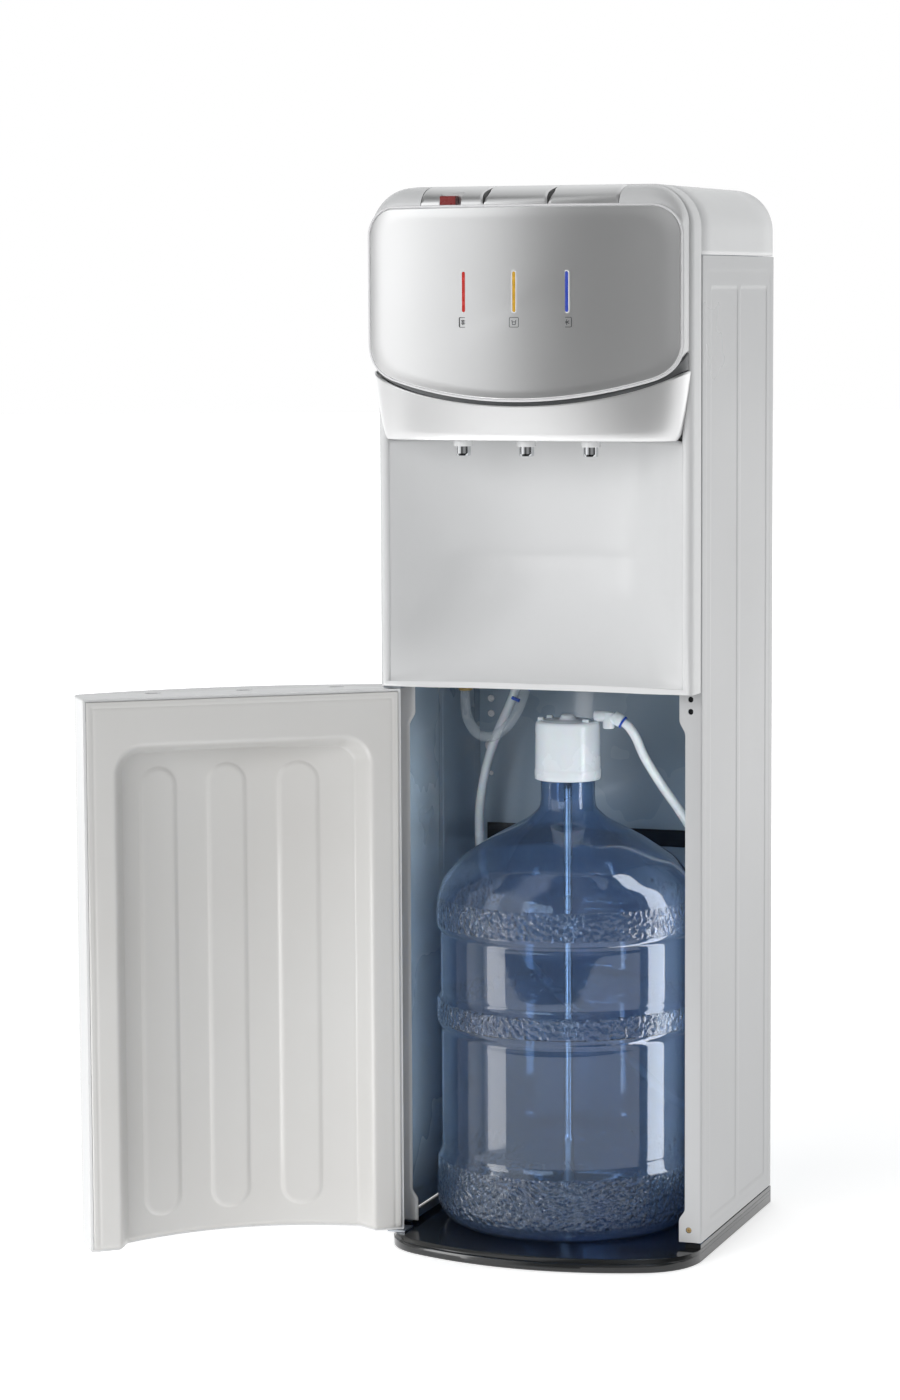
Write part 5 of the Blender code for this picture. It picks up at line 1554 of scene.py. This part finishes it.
# Brightness of the surround by azimuth: 0 the front, 90 the left, 180 straight behind, 270 the right
SKY_LEVELS = (
    (0.0, 0.12), (14.0, 0.14), (24.0, 1.15), (36.0, 1.24), (56.0, 1.0), (68.0, 0.08), (105.0, 0.05),
    (125.0, 0.60), (165.0, 0.90), (188.0, 1.12), (206.0, 1.12), (218.0, 0.58), (242.0, 0.58),
    (258.0, 0.08), (292.0, 0.05), (304.0, 0.32), (316.0, 0.42), (330.0, 0.52), (344.0, 0.30),
    (359.9, 0.12),
)
SKY_TINT = (0.985, 0.995, 1.0)
# The sine of the elevation over which the surround falls to its level overhead
SKY_FADE, OVERHEAD_LEVEL = (0.58, 0.72), 0.75
# The same for the room's dark ground beyond the sheet of floor
GROUND_FADE, GROUND_LEVEL = (-0.12, -0.02), 0.06
# The sheet of floor ends in front of the dispenser, which leaves the dark room to reflect there
FLOOR_FRONT_Y, FLOOR_REACH = -1.3, 30.0
# The floor's glow grows over this stretch of Y
GLOW_STRETCH, GLOW_LEVELS = (0.9, 3.6), (0.60, 0.98)
# Each area light's name, place, aim, size and watts, and the rays that don't meet it. The last is a
# strip that only reflections see: the upright highlight on the bottle
CABINET_MIDDLE = (0.0, 0.0, 0.45)
LIGHTS = (
    ("left_softbox", (-2.3, -1.4, 1.1), CABINET_MIDDLE, (0.9, 2.0), 5.3, ()),
    ("front_fill", (-0.6, -3.2, 1.3), CABINET_MIDDLE, (1.6, 1.6), 46.0, ("glossy",)),
    ("bay_fill", (0.139, 0.030, 0.300), (-0.15, 0.075, 0.300), (0.03, 0.44), 0.26, ("camera",)),
    ("bay_left_fill", (-0.118, 0.020, 0.290), (-0.150, 0.200, 0.290), (0.02, 0.44), 0.16, ("camera",)),
    (
        "bottle_highlight", (-0.382, -0.329, 0.18), (-0.033, -0.045, 0.18), (0.17, 0.35), 0.85,
        ("camera", "diffuse", "transmission"),
    ),
)


def make_lights():
    for name, place, aim, size, power, unseen_by in LIGHTS:
        light = bpy.data.lights.new(name, "AREA")
        light.shape = "RECTANGLE"
        light.size, light.size_y = size
        light.energy = power
        obj = bpy.data.objects.new(name, light)
        SCENE.collection.objects.link(obj)
        obj.location = place
        obj.rotation_euler = (Vector(aim) - Vector(place)).to_track_quat("-Z", "Y").to_euler()
        for ray in unseen_by:
            setattr(obj, f"visible_{ray}", False)


def make_floor():
    """A pale floor whose glow grows behind the dispenser, as on a lit paper sweep."""
    pale = material("pale_floor", (0.86, 0.86, 0.86), 0.7, Emission_Color=(1.0, 1.0, 1.0, 1.0))
    surface_detail(pale, 4.0, 0.01, (0.65, 0.75), 0.5, (0.855, 0.855, 0.855))
    tree = pale.node_tree
    reach = add_node(tree, "SeparateXYZ", Vector=object_place(tree)).outputs["Y"]
    glow = map_range(tree, reach, GLOW_STRETCH, GLOW_LEVELS)
    tree.links.new(glow, tree.nodes["Principled BSDF"].inputs["Emission Strength"])
    low, high = (-FLOOR_REACH, FLOOR_FRONT_Y, -0.02), (FLOOR_REACH, FLOOR_REACH, 0.0)
    box_piece("floor", low, high, pale, 0.0)


def studio_sky(tree):
    """The surround's colour by azimuth, after SKY_LEVELS, and the sine of the elevation seen."""
    place = tree.nodes.new("ShaderNodeTexCoord")
    seen = add_node(tree, "SeparateXYZ", Vector=place.outputs["Generated"])
    turn = calculation(tree, "ARCTAN2", seen.outputs["X"], seen.outputs["Y"])
    ramp = add_node(tree, "ValToRGB", Fac=map_range(tree, turn, (-math.pi, math.pi)))
    stops = ramp.color_ramp
    stops.interpolation = "LINEAR"
    while len(stops.elements) > 1:
        stops.elements.remove(stops.elements[-1])
    for i, (azimuth, level) in enumerate(SKY_LEVELS):
        position = azimuth / 360
        stop = stops.elements[0] if i == 0 else stops.elements.new(position)
        stop.position = position
        stop.color = (*(level * share for share in SKY_TINT), 1.0)
    return ramp.outputs["Color"], seen.outputs["Z"]


def make_surround():
    """Plain white behind everything, and the studio's surround for what it lights."""
    world = bpy.data.worlds.new("studio")
    SCENE.world = world
    world.use_nodes = True
    tree = world.node_tree
    tree.nodes.clear()
    colour, height = studio_sky(tree)
    fade = map_range(tree, height, SKY_FADE, (1.0, OVERHEAD_LEVEL))
    ground = map_range(tree, height, GROUND_FADE, (GROUND_LEVEL, 1.0))
    level = calculation(tree, "MULTIPLY", fade, ground)
    lit = add_node(tree, "Background", Color=colour, Strength=level)
    white = add_node(tree, "Background", Color=(1.0, 1.0, 1.0, 1.0))
    path = tree.nodes.new("ShaderNodeLightPath")
    mix = add_node(tree, "MixShader", Fac=path.outputs["Is Camera Ray"])
    tree.links.new(lit.outputs["Background"], mix.inputs[1])
    tree.links.new(white.outputs["Background"], mix.inputs[2])
    add_node(tree, "OutputWorld", Surface=mix.outputs["Shader"])
    SCENE.view_settings.view_transform = "Standard"
    SCENE.view_settings.look = "None"


make_camera()
make_hoses()
make_side_panels()
make_screw_insert()
make_top_cover()
make_front_frame()
make_niche()
make_base()
make_head_shell()
make_head_panel()
make_indicators()
make_buttons()
make_child_lock()
make_fascia()
make_trim_strip()
make_taps()
make_door_skin()
make_door_liner()
make_bottle()
make_pump_cap()
make_dip_tube()
make_cap_elbow()
make_bay_grille()
make_hose_clips()
make_plugs_painted_as_lit_holes()
make_back_screws()
make_back_pressings()
make_drain_cap()
make_pump()
finish_kept_nodes()
make_floor()
make_lights()
make_surround()
